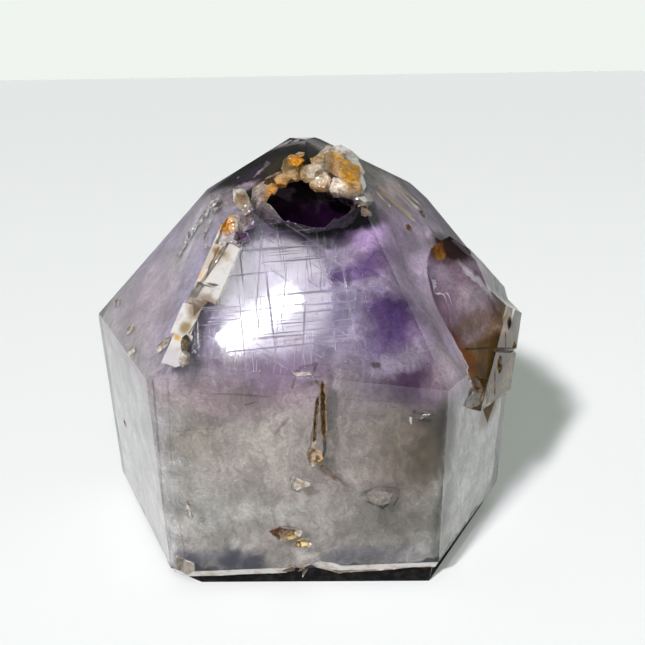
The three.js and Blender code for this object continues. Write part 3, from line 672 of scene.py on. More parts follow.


# Broken quartz: whitish and uneven, with iron stains from yellow ochre to dark brown on the crust, in the
# channel on the left edge and in the pits, and nearly black in the hollow under the crown: dark amethyst
# with painted shade of the hollow's depth.

RAW_WHITE = (0.42, 0.39, 0.355)
RAW_BEIGE = (0.22, 0.165, 0.11)
OCHRE = (0.52, 0.21, 0.014)
PEACH = (0.36, 0.19, 0.085)
OLIVE_BROWN = (0.075, 0.045, 0.010)
RUST = (0.13, 0.050, 0.010)
# the back of the hollow: dark amethyst and painted shade of its depth
CAVE_BLACK_AND_SHADE = (0.008, 0.002, 0.010)
CAVE_PURPLE = (0.075, 0.034, 0.120)
STAINS = [
    # the crust: olive and orange on the left, white and pink in the middle, gold on the right
    ("crown_strip", [
        ((0.31, 0.185, 0.075), 10, 100, -3, (15, 9, 12), 0.25, 0.9),
        (OLIVE_BROWN, 3.2, 102.3, 0, (4.4, 3.9, 8), 0.35, 0.97),
        (OCHRE, 4.3, 102.9, 0, (2.5, 2.6, 8), 0.5, 0.97),
        ((0.40, 0.33, 0.25), 9.6, 100.6, 0, (3.2, 3.0, 6), 0.45, 0.9),
        ((0.80, 0.66, 0.54), 14.4, 99.7, -2, (2.3, 2.4, 5), 0.45, 0.95),
        ((0.37, 0.175, 0.010), 16.8, 103.2, -4, (2.6, 4.8, 7), 0.4, 0.97),
        ((0.38, 0.20, 0.045), 12.4, 105.4, -3, (4.4, 1.5, 7), 0.5, 0.9),
        (PEACH, 11.6, 97.6, -3, (5.0, 1.2, 7), 0.5, 0.9, -22),
        ((0.34, 0.15, 0.035), 0.6, 97.2, 0, (4.6, 1.2, 5), 0.5, 0.9, 24),
        ((0.22, 0.19, 0.16), 19.2, 97.6, -5, (2.2, 2.3, 6), 0.4, 0.9),
        ((0.32, 0.17, 0.06), 21.7, 95.0, -6, (1.2, 2.4, 6), 0.5, 0.85, -20),
        ((0.17, 0.10, 0.055), -8.8, 94.8, 0, (2.2, 3.4, 5), 0.4, 0.92, 25),
    ]),
    # the left end of the rim: a thin orange line between smoky purple and the dark of the hollow
    ("crown_strip", [
        ((0.085, 0.055, 0.085), -3.2, 91.6, 0, (4.6, 3.2, 5), 0.4, 0.94),
        ((0.14, 0.10, 0.115), -4.6, 95.4, 1, (1.6, 2.8, 4), 0.5, 0.85),
        ((0.46, 0.20, 0.035), -1.2, 96.4, 1, (0.8, 2.6, 4), 0.5, 0.9, -30),
    ]),
    # the hollow: black at the back, dark amethyst and painted shade of its depth, purple at its front rim
    ("front_slope", [
        (CAVE_PURPLE, 1.0, 87.5, -3, (22, 5.0, 8), 0.3, 0.93),
        (CAVE_BLACK_AND_SHADE, 2.5, 92.0, -7, (17.0, 7.6, 9), 0.2, 1.0),
        (CAVE_BLACK_AND_SHADE, 2.5, 98.0, -16, (17.0, 6.0, 9), 0.2, 1.0),
        ((0.13, 0.008, 0.045), -1.2, 98.6, -17, (3.2, 2.4, 7), 0.6, 0.9),
        ((0.065, 0.020, 0.12), 8.0, 97.6, -14, (3.6, 2.6, 7), 0.6, 0.9),
    ]),
    # the channel on the left edge, from its top down
    ("crown_strip", [
        ((0.22, 0.175, 0.135), -9.5, 92.0, 0, (4.0, 3.4, 6), 0.4, 0.8),
        (OCHRE, -11.0, 90.2, -1, (1.7, 2.4, 5), 0.7, 0.95),
    ]),
    ("left_slope", [
        ((0.24, 0.19, 0.135), 25.0, 75.4, -2, (3.2, 3.4, 5), 0.4, 0.95),
        ((0.12, 0.085, 0.035), 28.8, 68.4, -2, (2.2, 3.4, 5), 0.4, 0.95),
        ((0.03, 0.02, 0.01), 28.8, 69.2, -2, (1.6, 0.35, 4), 0.5, 0.9),
        ((0.04, 0.025, 0.012), 30.0, 66.8, -2, (0.5, 1.3, 4), 0.6, 0.85),
        ((0.40, 0.385, 0.39), 2, 87, 0, (7, 9, 3), 0.3, 0.95),
    ]),
    # the pits of the front face
    ("front", [
        (RUST, -8.2, 15.8, 0, (3.8, 2.4, 4), 0.4, 0.97),
        ((0.09, 0.045, 0.012), -6.6, 14.2, 0, (2.2, 1.2, 4), 0.6, 0.8),
        ((0.62, 0.46, 0.19), -3.9, 12.2, 0, (3.0, 1.9, 4), 0.35, 0.95),
        ((0.20, 0.125, 0.065), 2.2, 50, 0, (2.6, 11, 4), 0.3, 0.95),
        ((0.33, 0.235, 0.145), 1.2, 38.4, 0, (2.4, 3.4, 4), 0.3, 0.95),
        ((0.58, 0.46, 0.30), 1.9, 41.5, 0, (0.9, 2.6, 4), 0.4, 0.95),
        ((0.66, 0.40, 0.06), 3.3, 36.4, 0, (0.9, 0.6, 4), 0.4, 0.95),
        ((0.12, 0.06, 0.05), 4.6, 32.8, 0, (2.8, 2.8, 4), 0.3, 0.9),
        ((0.135, 0.118, 0.105), 16.6, 25.2, 0, (6, 4.5, 3), 0.3, 0.95),
        ((0.17, 0.145, 0.12), -33, 2, -1, (7, 5, 6), 0.3, 0.9),
        ((0.05, 0.038, 0.034), 25.8, 48.6, 0, (3.4, 2.6, 3), 0.3, 0.9),
    ]),
    # the smoky block and the pocket
    ("smoky_block", [
        ((0.19, 0.105, 0.020), 12, 50, 0, (16, 18, 6), 0.3, 0.9),
        ((0.012, 0.007, 0.003), 17.2, 58.0, 0, (1.8, 1.6, 5), 0.5, 0.95),
        ((0.012, 0.007, 0.003), 19.0, 49.5, 0, (1.8, 1.4, 5), 0.5, 0.95),
    ]),
    ("right", [
        (RUST, -2.0, 49, 0, (5, 7, 6), 0.4, 0.9),
        ((0.11, 0.052, 0.008), 8, 36, 0, (8, 7, 6), 0.3, 0.97),
    ]),
    # ridges of the right slope
    ("right_slope", [
        ((0.21, 0.155, 0.115), 5, 93, 0, (10, 9, 4), 0.3, 0.93),
        ((0.07, 0.035, 0.012), 12.4, 86.4, 0, (2.0, 1.6, 4), 0.4, 0.95),
        ((0.12, 0.065, 0.025), 1.7, 85.0, 0, (1.8, 1.5, 4), 0.4, 0.95),
    ]),
    # the brown lip of the chip in the front bevel
    ("front", [((0.10, 0.062, 0.030), 2.0, 2.2, -2, (9.5, 3.6, 5), 0.25, 1.0)]),
]
IRON_ZONES = [                 # where iron has crept along the seams between the grains
    ("crown_strip", 9, 100, -3, (17, 9, 12), 0.3, 0.45), ("front", 2, 46, 0, (3, 14, 4), 0.3, 0.9),
    ("front", -6, 14, 0, (7, 5, 4), 0.3, 0.9), ("right", 3, 44, 0, (12, 14, 8), 0.3, 1.0),
    ("smoky_block", 12, 50, 0, (16, 18, 6), 0.3, 0.8),
]
SEAM_BROWN = (0.065, 0.032, 0.012)
SEAM_GRAINS = (2.6, 0.16)      # size of the grains between the seams, mm, and the share that a seam takes
CRUST_ZONE = ("crown_strip", 9, 100, -3, (17, 9, 12), 0.3)
CRUST_SMOOTHER = -0.8          # the crust is glassier than the other broken ground: by this in relief
CRUST_SHINIER = -0.5           # and by this in roughness
BROKEN_RELIEF = 0.25 * MM
BROKEN_ROUGHNESS = (0.08, 0.40)


def iron_seams(tree, where, colour, cell, width):
    """Dark lines of iron along the seams between grains of that size, where iron has crept in."""
    seams = grain_cells(tree, where, 1 / (cell * MM), "DISTANCE_TO_EDGE")
    line = fade(tree, seams["Distance"], width, width * 0.3)
    broken_up = fade(tree, cloud_noise(tree, where, 500.0, 2.0), 0.42, 0.55)
    total = None
    for zone in IRON_ZONES:
        total = strongest(tree, total, spot(tree, where, *zone))
    share = maths(tree, "MULTIPLY", maths(tree, "MULTIPLY", line, broken_up), total)
    return blend_colour(tree, share, colour, SEAM_BROWN)


def broken_quartz():
    material, tree, shader, out = new_material("broken_quartz")
    where = drifting_place(tree, 2.4, 1.6)
    mottle = cloud_noise(tree, where, 420.0, 4.0)
    colour = blend_colour(tree, fade(tree, mottle, 0.42, 0.62), RAW_WHITE, RAW_BEIGE)
    colour = lay_spots(tree, where, colour, STAINS)
    light_and_dark = fade(tree, cloud_noise(tree, where, 700.0, 3.0, 0.7), 0.3, 0.7, 0.68, 1.25)
    colour = multiplied(tree, colour, light_and_dark)
    tree.links.new(iron_seams(tree, where, colour, *SEAM_GRAINS), shader.inputs["Base Color"])
    grains = grain_cells(tree, where, 1100.0)
    crust = spot(tree, where, *CRUST_ZONE)
    uneven = maths(tree, "MULTIPLY", grains["Distance"],
                   maths(tree, "MULTIPLY_ADD", crust, CRUST_SMOOTHER, 1.0))
    tree.links.new(bump(tree, uneven, BROKEN_RELIEF, 0.7), shader.inputs["Normal"])
    dull = fade(tree, mottle, 0.3, 0.7, *BROKEN_ROUGHNESS)
    shinier = maths(tree, "MULTIPLY_ADD", crust, CRUST_SHINIER, 1.0)
    tree.links.new(maths(tree, "MULTIPLY", dull, shinier), shader.inputs["Roughness"])
    shader.inputs["IOR"].default_value = QUARTZ_IOR
    tree.links.new(shader.outputs["BSDF"], out.inputs["Surface"])
    return material


CLEFT_STAINS = [
    ("left_slope", [
        ((0.42, 0.34, 0.26), 18.6, 83.5, -1, (2.4, 5.5, 3), 0.5, 0.7, -15),
        ((0.60, 0.36, 0.09), 19.6, 79.4, 0, (1.1, 1.6, 3), 0.7, 0.85),
        ((0.20, 0.12, 0.04), 19.1, 84.8, -1, (0.9, 0.8, 3), 0.6, 0.95),
        (OCHRE, 15.8, 89.4, -1, (1.6, 2.2, 3), 0.7, 0.9),
        ((0.30, 0.235, 0.175), 24.6, 76.4, -2, (4.2, 1.5, 4), 0.4, 0.95),
        ((0.27, 0.20, 0.13), 25.2, 74.0, -2, (2.4, 2.4, 4), 0.4, 0.95),
        ((0.36, 0.28, 0.25), 28.3, 74.5, -4, (1.8, 2.6, 4), 0.4, 0.8),
        ((0.26, 0.185, 0.085), 25.8, 70.3, -1, (1.6, 1.4, 4), 0.6, 0.95),
        ((0.55, 0.30, 0.04), 26.2, 68.2, -1, (0.9, 0.6, 4), 0.7, 0.95),
        ((0.50, 0.47, 0.50), 27.4, 64.6, -1, (5, 2.4, 4), 0.4, 0.8),
    ]),
    ("right_slope", [((0.24, 0.185, 0.15), 5, 94, 0, (10, 10, 5), 0.3, 0.93)]),
]
IRON_LINES = [                 # brown up the seams between the plates of the channel
    ("left_slope", [
        ((0.13, 0.075, 0.03), 0.42, 0.95, [(19.0, 85.6, -1), (20.3, 81.7, -1), (20.3, 78.4, -2)]),
        ((0.13, 0.075, 0.03), 0.42, 0.95, [(20.3, 78.4, -1), (22.4, 75.4, -0.5)]),
        ((0.10, 0.07, 0.045), 0.55, 0.95, [(20.2, 78.6, -2), (25.9, 80.4, -4.3)]),
        ((0.055, 0.03, 0.012), 0.45, 0.95, [(26.0, 80.0, -4.3), (25.9, 77.3, -4.4), (26.4, 75.2, -2.4)]),
        ((0.13, 0.08, 0.04), 0.40, 0.9, [(26.4, 75.2, -2.4), (27.6, 71.9, -1.9), (27.8, 70, -1.8)]),
        ((0.22, 0.15, 0.085), 0.45, 0.8, [(22.0, 88.4, -3.8), (25.8, 80.3, -4.2)]),
    ]),
]
CLEFT_WHITE = (0.60, 0.585, 0.56)
CLEFT_BEIGE = (0.41, 0.34, 0.27)
CLEFT_ROUGHNESS = (0.06, 0.25)
CLEFT_RELIEF = 0.3 * MM
CLEFT_CLARITY = 0.25
LAMP_THROUGH_CLEFT = (0.35, 0.34, 0.33)


def cleft_quartz():
    """Clean breaks: smooth and shiny, but frosty enough to look pale."""
    material, tree, shader, out = new_material("cleft_quartz")
    where = drifting_place(tree, 2.0, 1.2)
    mottle = cloud_noise(tree, where, 300.0, 4.0)
    colour = blend_colour(tree, fade(tree, mottle, 0.45, 0.7), CLEFT_WHITE, CLEFT_BEIGE)
    colour = lay_spots(tree, where, colour, CLEFT_STAINS)
    colour = lay_cracks(tree, drifting_place(tree, 0.8, 0.8), colour, IRON_LINES)
    tree.links.new(colour, shader.inputs["Base Color"])
    tree.links.new(fade(tree, mottle, 0.3, 0.7, *CLEFT_ROUGHNESS), shader.inputs["Roughness"])
    tree.links.new(bump(tree, mottle, CLEFT_RELIEF, 0.3), shader.inputs["Normal"])
    shader.inputs["IOR"].default_value = QUARTZ_IOR
    shader.inputs["Transmission Weight"].default_value = CLEFT_CLARITY
    let_lamps_through(tree, shader.outputs["BSDF"], LAMP_THROUGH_CLEFT, out)
    return material


# painted shade: these near-black colours of the raw ground stand in for the shade in the gap under the stone
GROUND_SHADE_BLACK = (0.004, 0.004, 0.005)
GROUND_SHADE_GREY = (0.016, 0.014, 0.013)


def ground_quartz_painted_shade():
    """The raw ground that the stone stands on: rough, and painted near black: painted shade of the gap under
    the stone.
    """
    material, tree, shader, out = new_material("ground_quartz_painted_shade")
    mottle = cloud_noise(tree, drifting_place(tree, 1.0, 1.0), 500.0, 4.0)
    colour = blend_colour(tree, fade(tree, mottle, 0.4, 0.7), GROUND_SHADE_BLACK, GROUND_SHADE_GREY)
    tree.links.new(colour, shader.inputs["Base Color"])
    shader.inputs["Roughness"].default_value = 0.9
    shader.inputs["Specular IOR Level"].default_value = 0.06
    tree.links.new(shader.outputs["BSDF"], out.inputs["Surface"])
    return material


for quartz in (clear_quartz, cleft_quartz, broken_quartz, ground_quartz_painted_shade):
    skin.data.materials.append(quartz())
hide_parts("amethyst_point")
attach(skin, "root")


# The milky heart: from a few millimetres under the faces inwards, the quartz is full of fine clouds, in
# bands of grey, lavender and deep purple that follow the faces, and smoky brown in the side crystal.

HEART_MIDDLE = np.array([STONE_AXIS[0], STONE_AXIS[1], 46 * MM])
HEART_DEPTH = 3.2 * MM         # the clouds start this far under the faces
HEART_FOOT = 3.7 * MM          # and this far above the underside
HEART_SOFTNESS = 80            # the higher, the sharper the edges
HEART_DENTS = [                # under hollows of the stone: place, depth and width, mm
    (("front_slope", 2, 92, -4), 11, 11), (("right_slope", -5, 76, 0), 4, 7),
    (("right_slope", -5, 66, 0), 4, 6), (("right_slope", -6, 57, 0), 4, 6), (("right", 0, 46, 0), 4, 6),
]
HEART_WAVE = 14 * MM
HEART_SWELL = 0.5 * MM
SIDE_DEPTH = 2.0 * MM          # the clouds of the side crystal come this near to its faces
SIDE_START = 0.35              # and lie this far to the right or more, as a share of the way out
SIDE_END = 90 * MM


def reach_inside(u, middle, faces, depth):
    """How far along directions u the nearest plane is, softly: (sum of t^-k)^(-1/k) of the distances t."""
    total = np.zeros(len(u))
    entered = np.zeros(len(u))
    for name, (n, d) in faces.items():
        room = d - (depth if name != "underside" else HEART_FOOT) - n @ middle
        facing = u @ n
        if room > 0:
            total += (room / np.maximum(facing, 1e-9)) ** -HEART_SOFTNESS
        else:
            leaving = facing < 0
            entered[leaving] = np.maximum(entered[leaving], room / facing[leaving])
            total[~leaving] = np.inf
    reach = np.maximum(total, 1e-300) ** (-1 / HEART_SOFTNESS)
    return np.where(reach > entered, reach, 0)


SIDE_REACH = {name: FACES[name] for name in (
    "side_crystal", "side_left_flank", "side_shoulder", "side_flank", "side_tip_right", "side_far_tip",
    "smoky_block", "side_foot", "back_right", "back")}


def heart_mesh(rows=210, columns=400):
    """Closed surface of directions u(theta, phi): as far out as the point or the side crystal reaches."""
    theta = np.linspace(0, math.pi, rows)[1:-1, None]
    phi = np.linspace(0, 2 * math.pi, columns, endpoint=False)[None, :]
    u = np.stack([np.sin(theta) * np.cos(phi), np.sin(theta) * np.sin(phi),
                  np.cos(theta) * np.ones_like(phi)], -1).reshape(-1, 3)
    u = np.vstack([u, [0, 0, 1], [0, 0, -1]])
    reach = reach_inside(u, HEART_MIDDLE, POINT_FACES, HEART_DEPTH)
    beside = np.where(u[:, 0] > SIDE_START, reach_inside(u, HEART_MIDDLE, SIDE_REACH, SIDE_DEPTH), 0)
    reach = np.maximum(reach, np.where(beside < SIDE_END, beside, 0))
    points = HEART_MIDDLE + u * reach[:, None]
    reach += ripple(points, HEART_WAVE, 5) * HEART_SWELL
    for where, depth, width in HEART_DENTS:
        far = np.linalg.norm(points - place(*where), axis=1)
        reach -= depth * MM * np.exp(-(far / (width * MM)) ** 2)
    points = HEART_MIDDLE + u * reach[:, None]
    index = np.arange((rows - 2) * columns).reshape(rows - 2, columns)
    a, b = index[:-1], index[1:]
    quads = np.stack([a, b, np.roll(b, -1, 1), np.roll(a, -1, 1)], -1).reshape(-1, 4)
    top, bottom = len(u) - 2, len(u) - 1
    caps = [[top, i, j] for i, j in zip(index[0], np.roll(index[0], -1))]
    caps += [[bottom, j, i] for i, j in zip(index[-1], np.roll(index[-1], -1))]
    mesh = bpy.data.meshes.new("milky_heart")
    mesh.from_pydata(points.tolist(), [], quads.tolist() + caps)
    mesh.shade_smooth()
    return mesh


CLOUD_GREY = (0.25, 0.235, 0.215)
CLOUD_WHITE = (0.40, 0.40, 0.38)
PALE_LAVENDER = (0.25, 0.23, 0.30)
MAUVE = (0.165, 0.12, 0.175)
PURPLE = (0.076, 0.043, 0.116)
DEEP_PURPLE = (0.044, 0.020, 0.084)
# painted shade: the dark foot seen through the clear quartz
PAINTED_BLUE_SHADE = (0.016, 0.019, 0.042)
WARM_BROWN = (0.058, 0.042, 0.023)
GROWTH_COLOURS = [
    # whole faces first
    ("left", [((0.31, 0.315, 0.30), 0, 30, 0, (40, 40, 9), 0.3, 0.95)]),
    ("front_left_strip", [((0.26, 0.25, 0.228), 0, 30, 0, (7, 40, 8), 0.3, 0.9)]),
    # painted light: the right face's clouds painted pale for the fill and reflected light that it gets
    ("right", [((0.50, 0.51, 0.475), 8, 26, 0, (34, 36, 9), 0.25, 0.95)]),
    ("left_slope", [((0.205, 0.185, 0.194), 0, 72, 0, (40, 34, 9), 0.3, 0.95)]),
    ("front_slope", [((0.195, 0.17, 0.23), 0, 75, -6, (44, 26, 14), 0.25, 0.95)]),
    ("right_slope", [((0.30, 0.24, 0.32), 0, 70, -4, (30, 30, 9), 0.3, 0.95)]),
    ("back_slope", [((0.21, 0.18, 0.235), 0, 78, -3, (40, 24, 9), 0.6, 0.9)]),
    ("back_left_slope", [((0.20, 0.165, 0.235), 0, 76, -3, (34, 22, 9), 0.6, 0.9)]),
    ("back_right_slope", [((0.20, 0.165, 0.235), 0, 76, -3, (34, 22, 9), 0.6, 0.9)]),
    # the front face, from its top down
    ("front", [
        ((0.215, 0.162, 0.165), -14, 54, -3, (21, 7, 8), 0.6, 0.75),
        ((0.17, 0.11, 0.19), -7, 59, -3, (9, 4, 8), 0.6, 0.7),
        ((0.21, 0.18, 0.175), 10, 50, -3, (9, 8, 8), 0.6, 0.6),
        ((0.12, 0.10, 0.066), -27, 42, -3, (6.5, 4.6, 6), 0.7, 0.45),
        ((0.33, 0.30, 0.27), -9, 36, -3, (14, 10, 8), 0.7, 0.75),
        ((0.155, 0.135, 0.122), 11, 34, -3, (12, 12, 8), 0.7, 0.7),
        ((0.235, 0.24, 0.22), -25, 22, -3, (13, 7, 8), 0.7, 0.6),
        (CLOUD_WHITE, -13, 19.5, -3, (15, 3.6, 8), 0.8, 0.4),
        ((0.165, 0.158, 0.138), 10, 18, -3, (9, 6, 8), 0.7, 0.5),
        ((0.110, 0.105, 0.088), 24, 14, -3, (14, 10, 8), 0.7, 0.85),
        ((0.088, 0.065, 0.044), 23, 38, -3, (8, 14, 8), 0.7, 0.75),
        (WARM_BROWN, 30, 37, -3, (6.0, 13, 8), 0.6, 0.95),
        ((0.028, 0.020, 0.017), 28, 46, -3, (6, 3.4, 6), 0.7, 0.7),
        ((0.042, 0.018, 0.048), 25, 55, -3, (11, 5.5, 8), 0.6, 0.95),
    ]),
    # painted shade: blue-grey dark rising from the foot, the dark ground under the stone seen through the
    # clear quartz
    ("front", [
        (PAINTED_BLUE_SHADE, -30, 6, -3, (3.4, 3.6, 6), 0.6, 0.85),
        (PAINTED_BLUE_SHADE, -23, 5.5, -3, (3.6, 4.6, 6), 0.6, 0.95),
        (PAINTED_BLUE_SHADE, -17, 4.0, -3, (3.4, 3.2, 6), 0.6, 0.95),
        ((0.075, 0.08, 0.10), 10, 5, -3, (7, 3.0, 6), 0.7, 0.8),
        ((0.085, 0.085, 0.10), 24, 5, -3, (12, 3.0, 6), 0.7, 0.7),
    ]),
    # the front slope
    ("front_slope", [
        (PALE_LAVENDER, -18, 80, -3, (16, 13, 8), 0.7, 0.7),
        ((0.165, 0.13, 0.18), 2, 86, -3, (11, 4.5, 8), 0.6, 0.7),
        (MAUVE, 15, 85, -3, (5, 7, 8), 0.6, 0.9, -35),
        (PURPLE, 4, 78.6, -3, (9, 2.6, 8), 0.6, 0.95, 14),
        (PURPLE, 13.5, 82, -3, (7, 3.2, 8), 0.6, 0.9, 38),
        ((0.19, 0.165, 0.23), 9, 75.2, -3, (12, 1.8, 8), 0.7, 0.8, 20),
        (PURPLE, 15.5, 69.0, -3, (8.5, 6.4, 8), 0.5, 0.95, -20),
        (DEEP_PURPLE, 17.5, 70.2, -3, (5.5, 3.6, 8), 0.7, 0.75, -15),
        (PURPLE, 10.5, 64.7, -3, (3.4, 3.4, 8), 0.7, 0.6),
        ((0.19, 0.165, 0.22), 4.5, 66, -3, (5, 4, 8), 0.8, 0.6),
        ((0.120, 0.105, 0.165), 2.0, 71.6, -3, (5, 4, 8), 0.8, 0.65),
        ((0.26, 0.23, 0.28), 16, 61.5, -3, (8, 2.0, 8), 0.8, 0.8, 12),
    ]),
    # the right slope
    ("right_slope", [
        ((0.22, 0.145, 0.23), -4, 83, -3, (9, 4.6, 8), 0.6, 0.85, 30),
        ((0.27, 0.22, 0.30), -10, 75, -3, (6, 4.6, 8), 0.6, 0.8),
        ((0.150, 0.092, 0.160), -11, 65, -3, (6, 6.5, 8), 0.6, 0.85),
        ((0.27, 0.21, 0.235), -16, 57, -3, (6, 4, 8), 0.6, 0.8),
    ]),
    # the left slope
    ("left_slope", [
        ((0.215, 0.17, 0.20), 2, 69, -3, (14, 8, 8), 0.7, 0.8),
        ((0.36, 0.35, 0.37), 1.6, 86.2, -3, (1.7, 8.0, 4), 0.6, 0.7, 32),
    ]),
    # the right face, darker towards its foot
    ("right", [((0.36, 0.37, 0.34), 4, 5, -3, (30, 8, 8), 0.6, 0.7)]),
    # nearly black under the cap, and round the hollow dark amethyst with painted shade of its depth
    ("cap_left", [((0.010, 0.006, 0.009), 0, 101, -3, (24, 12, 14), 0.25, 0.98)]),
    ("crown_strip", [((0.010, 0.006, 0.009), -2, 104, -3, (18, 8, 12), 0.3, 0.97)]),
    ("front_slope", [
        ((0.080, 0.046, 0.115), 2, 89.5, -7, (13.0, 4.4, 8), 0.45, 0.9),
        # mid purple right of the hollow, painted lighter to make up for the shade of the dent: partly
        # painted light
        ((0.36, 0.25, 0.42), 13, 90.5, -5, (6, 6, 8), 0.6, 0.85),
        (CAVE_BLACK_AND_SHADE, 2.5, 93.0, -8, (14.5, 5.4, 8), 0.25, 1.0),
    ]),
    # a milky veil and a plume left of the hollow, and a painted glint, a painted highlight, at the edge of
    # the cap
    ("cap_left", [
        ((0.024, 0.012, 0.032), -5, 99, -3, (5, 4, 4), 0.7, 0.8),
        ((0.030, 0.022, 0.008), 4.0, 101.5, -3, (3.0, 3.0, 4), 0.7, 0.7),
        ((0.22, 0.175, 0.20), 0.4, 96.2, -3, (5.2, 1.9, 5), 0.5, 0.9, 53),
        ((0.22, 0.17, 0.195), -0.2, 100.2, -3, (0.9, 2.0, 4), 0.6, 0.85),
        ((0.70, 0.70, 0.70), -7.2, 98.2, -3, (0.9, 0.5, 3), 0.6, 0.9),
    ]),
    # the side crystal: wine dark at its tip, milky and pink in the middle, smoky brown at its foot
    ("side_crystal", [
        ((0.135, 0.090, 0.115), 26, 68, -3, (14, 12, 7), 0.3, 0.97),
        ((0.25, 0.21, 0.225), 29, 66.5, -2, (6, 3.6, 5), 0.7, 0.75),
        ((0.21, 0.18, 0.215), 22.0, 73.5, -3, (2.4, 4.5, 5), 0.7, 0.7, 20),
        ((0.016, 0.004, 0.005), 29, 79.4, -2, (9.0, 5.0, 7), 0.35, 0.98),
        ((0.42, 0.40, 0.42), 35, 68, -2, (1.5, 8, 5), 0.5, 0.85, 25),
        ((0.115, 0.077, 0.055), 26, 60.5, -2, (12, 2.4, 7), 0.6, 0.85),
        ((0.084, 0.052, 0.012), 26, 52.6, -2, (13, 6.4, 7), 0.35, 0.97),
        ((0.10, 0.03, 0.035), 17.0, 59.0, -2, (2.4, 3.0, 5), 0.6, 0.9),
        ((0.20, 0.080, 0.008), 20.0, 54, -2, (2.6, 6.0, 5), 0.5, 0.95, 20),
        # painted glint: a thin white line of painted highlight on the left flank
        ((0.55, 0.54, 0.60), 19.0, 71.5, -3.5, (0.35, 6.0, 5), 0.6, 0.7, 8),
        ((0.22, 0.11, 0.012), 23.6, 78.2, -1.5, (1.7, 1.1, 4), 0.6, 0.95),
    ]),
    # painted glints: small painted highlights in the front face
    ("front", [
        ((0.70, 0.67, 0.67), 22.9, 45.6, -3, (0.5, 0.8, 3), 0.5, 0.9),
        ((0.60, 0.62, 0.60), -22, 12.0, -3, (1.6, 1.2, 3), 0.8, 0.6),
    ]),
    # painted shade: the heart dark at its underside, as in the shade under the stone
    ("front", [((0.030, 0.032, 0.045), 0, 0.6, -49, (75, 1.9, 75), 0.2, 0.95)]),
]
SPECK_CELLS = 620.0            # to the metre
SPECK_WHITENING = (2.8, 2.8, 2.8)
# Noise that darkens and lightens: whether it runs in upright fibres; its waves to the metre, detail,
# roughness and distortion; which noise is darkest and lightest, and by what factors.
HEART_TEXTURES = [
    (False, (140.0, 6.0, 0.66, 0.3), (0.3, 0.72, 0.78, 1.38)),
    (True, (620.0, 3.0, 0.6), (0.32, 0.68, 0.84, 1.16)),
    (False, (1500.0, 3.0, 0.7), (0.3, 0.7, 0.82, 1.18)),
    (False, (55.0, 5.0, 0.6, 0.5), (0.36, 0.62, 0.82, 1.05)),
]
FIBRE_STRETCH = (1, 1, 0.2)


def specks(tree):
    """Tiny white bubbles: a dot in about one cell in ten of a fine cell pattern."""
    cells = grain_cells(tree, object_place(tree), SPECK_CELLS)
    chosen = tree.nodes.new("ShaderNodeSeparateColor")
    tree.links.new(cells["Color"], chosen.inputs[0])
    dot = fade(tree, cells["Distance"], 0.16, 0.06)
    return maths(tree, "MULTIPLY", dot, fade(tree, chosen.outputs[0], 0.86, 0.92, 0.0, 0.6))


def upright_fibres(tree, where):
    """Places pressed together upwards, so that a noise on them runs in upright fibres."""
    node = tree.nodes.new("ShaderNodeMapping")
    node.inputs["Scale"].default_value = FIBRE_STRETCH
    tree.links.new(where, node.inputs["Vector"])
    return node.outputs[0]


def milky_quartz():
    material, tree, shader, out = new_material("milky_quartz")
    where = drifting_place(tree, 10, 4)
    colour = lay_spots(tree, where, CLOUD_GREY, GROWTH_COLOURS)
    for in_fibres, noise, tone in HEART_TEXTURES:
        laid_out = upright_fibres(tree, where) if in_fibres else where
        colour = multiplied(tree, colour, fade(tree, cloud_noise(tree, laid_out, *noise), *tone))
    brighter = multiplied(tree, colour, SPECK_WHITENING)
    colour = blend_colour(tree, specks(tree), colour, brighter)
    tree.links.new(colour, shader.inputs["Base Color"])
    shader.inputs["Roughness"].default_value = 0.9
    shader.inputs["Specular IOR Level"].default_value = 0.0
    tree.links.new(shader.outputs["BSDF"], out.inputs["Surface"])
    return material


heart = set_out("milky_heart", heart_mesh())
heart.data.materials.append(milky_quartz())
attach(heart, "root")


# Camera, light and floor. The lamp is seen mirrored in the front slope: a wide soft glow and a bright
# core. A sun lamp on the left gives the shadow, and the stone stands on a plain pale floor.

PHOTO_SIDE = 645
FOCAL_PX = 650.3
SENSOR_SIDE = 36
CAMERA_PITCH = math.radians(22.0)
CAMERA_ROLL = math.radians(0.89)
CAMERA_PLACE = STONE_AXIS + np.array([4.7, -182.8, 126.0]) * MM
camera = set_out("camera", bpy.data.cameras.new("camera"))
bpy.context.scene.camera = camera
camera.data.sensor_width = SENSOR_SIDE
camera.data.lens = FOCAL_PX / PHOTO_SIDE * SENSOR_SIDE
camera.data.clip_start = 0.01
camera.data.clip_end = 20
camera.matrix_world = (Matrix.Translation(CAMERA_PLACE)
                       @ Matrix.Rotation(math.pi / 2 - CAMERA_PITCH, 4, "X")
                       @ Matrix.Rotation(-CAMERA_ROLL, 4, "Z"))


def mirrored(face, across, height, distance):
    """Where a lamp stands that the camera sees mirrored at a place of a face, that distance from it."""
    n, _ = FACES[face]
    seen = place(face, across, height)
    way = (seen - CAMERA_PLACE) / np.linalg.norm(seen - CAMERA_PLACE)
    return seen + (way - 2 * (way @ n) * n) * distance


def panel_lamp(name, middle, along, size, power, target, shape="RECTANGLE"):
    """A flat lamp at middle that faces the target, its length turned along the given direction."""
    lamp = bpy.data.lights.new(name, "AREA")
    lamp.shape = shape
    lamp.size, lamp.size_y = size
    lamp.energy = power
    back = (middle - target) / np.linalg.norm(middle - target)
    side = along - (along @ back) * back
    side /= np.linalg.norm(side)
    turn = Matrix(np.stack([side, np.cross(back, side), back], 1).tolist()).to_4x4()
    set_out(name, lamp).matrix_world = Matrix.Translation(middle) @ turn


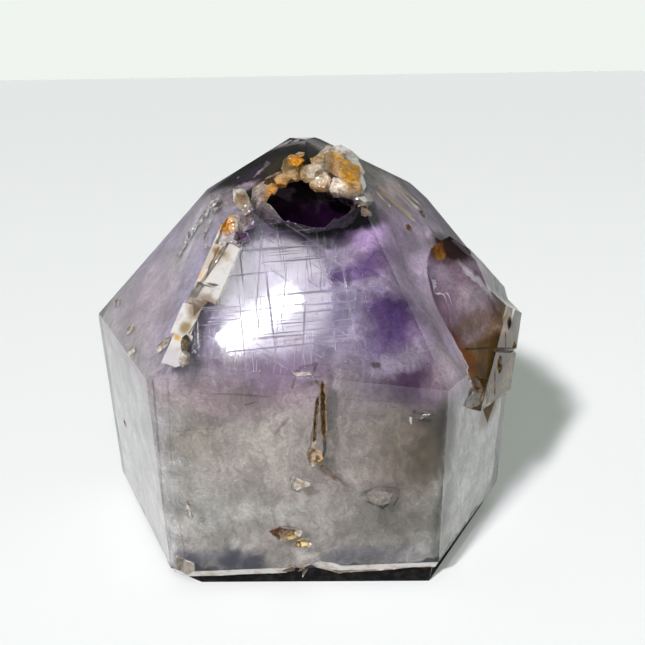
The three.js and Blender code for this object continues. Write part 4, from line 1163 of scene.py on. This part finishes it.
LAMP_DISTANCE = 0.62
CORE_WIDTH = 0.03
CORE_SHARE = 0.95              # of the way between its two mirrored ends
CORE_POWER = 0.55
GLOW_WIDTH = 0.135
GLOW_POWER = 0.38
core_start = mirrored("front_slope", -24.3, 65.8, LAMP_DISTANCE)
core_end = mirrored("front_slope", -6.0, 76.1, LAMP_DISTANCE)
glow_middle = mirrored("front_slope", -11.4, 75.2, LAMP_DISTANCE)
slope_middle = place("front_slope", -12, 73)
core_length = np.linalg.norm(core_end - core_start)
panel_lamp("lamp_core", (core_start + core_end) / 2, core_end - core_start,
           (core_length * CORE_SHARE, CORE_WIDTH), CORE_POWER, slope_middle)
panel_lamp("lamp_glow", glow_middle, core_end - core_start, (GLOW_WIDTH, GLOW_WIDTH), GLOW_POWER,
           slope_middle, "DISK")

WINDOW_WAY = (-0.494, -0.589, 0.640)
window = bpy.data.lights.new("left_window", "SUN")
window.energy = 3.7
window.angle = math.radians(5)
window.color = (1.0, 0.975, 1.015)
window_lamp = set_out("left_window", window)
window_lamp.rotation_mode = "QUATERNION"
window_lamp.rotation_quaternion = Vector(WINDOW_WAY).to_track_quat("Z", "Y")

FLOOR_REACH = 6.0
floor_mesh = bpy.data.meshes.new("floor")
floor_corners = [(x * FLOOR_REACH, y * FLOOR_REACH, 0) for x, y in ((-1, -1), (1, -1), (1, 1), (-1, 1))]
floor_mesh.from_pydata(floor_corners, [], [(0, 1, 2, 3)])
floor = set_out("floor", floor_mesh)
floor_material, tree, shader, out = new_material("pale_floor")
shader.inputs["Base Color"].default_value = (0.82, 0.83, 0.83, 1)
shader.inputs["Roughness"].default_value = 0.7
tree.links.new(shader.outputs["BSDF"], out.inputs["Surface"])
floor_mesh.materials.append(floor_material)

STUDIO_LIGHT = [(0.20, (0.87, 0.91, 0.87)), (0.55, (0.12, 0.155, 0.115))]    # pale low down, dim above
world = bpy.data.worlds.new("studio")
bpy.context.scene.world = world
world.use_nodes = True
tree = world.node_tree
tree.nodes.clear()
out = tree.nodes.new("ShaderNodeOutputWorld")
background = tree.nodes.new("ShaderNodeBackground")
split = tree.nodes.new("ShaderNodeSeparateXYZ")
ramp = tree.nodes.new("ShaderNodeValToRGB")
for stop, (height, colour) in zip(ramp.color_ramp.elements, STUDIO_LIGHT):
    stop.position = height
    stop.color = (*colour, 1)
tree.links.new(tree.nodes.new("ShaderNodeTexCoord").outputs["Generated"], split.inputs[0])
tree.links.new(split.outputs["Z"], ramp.inputs["Fac"])
tree.links.new(ramp.outputs["Color"], background.inputs["Color"])
tree.links.new(background.outputs["Background"], out.inputs["Surface"])

scene = bpy.context.scene
scene.view_settings.view_transform = "Standard"
scene.cycles.use_denoising = True
scene.cycles.transparent_max_bounces = 16
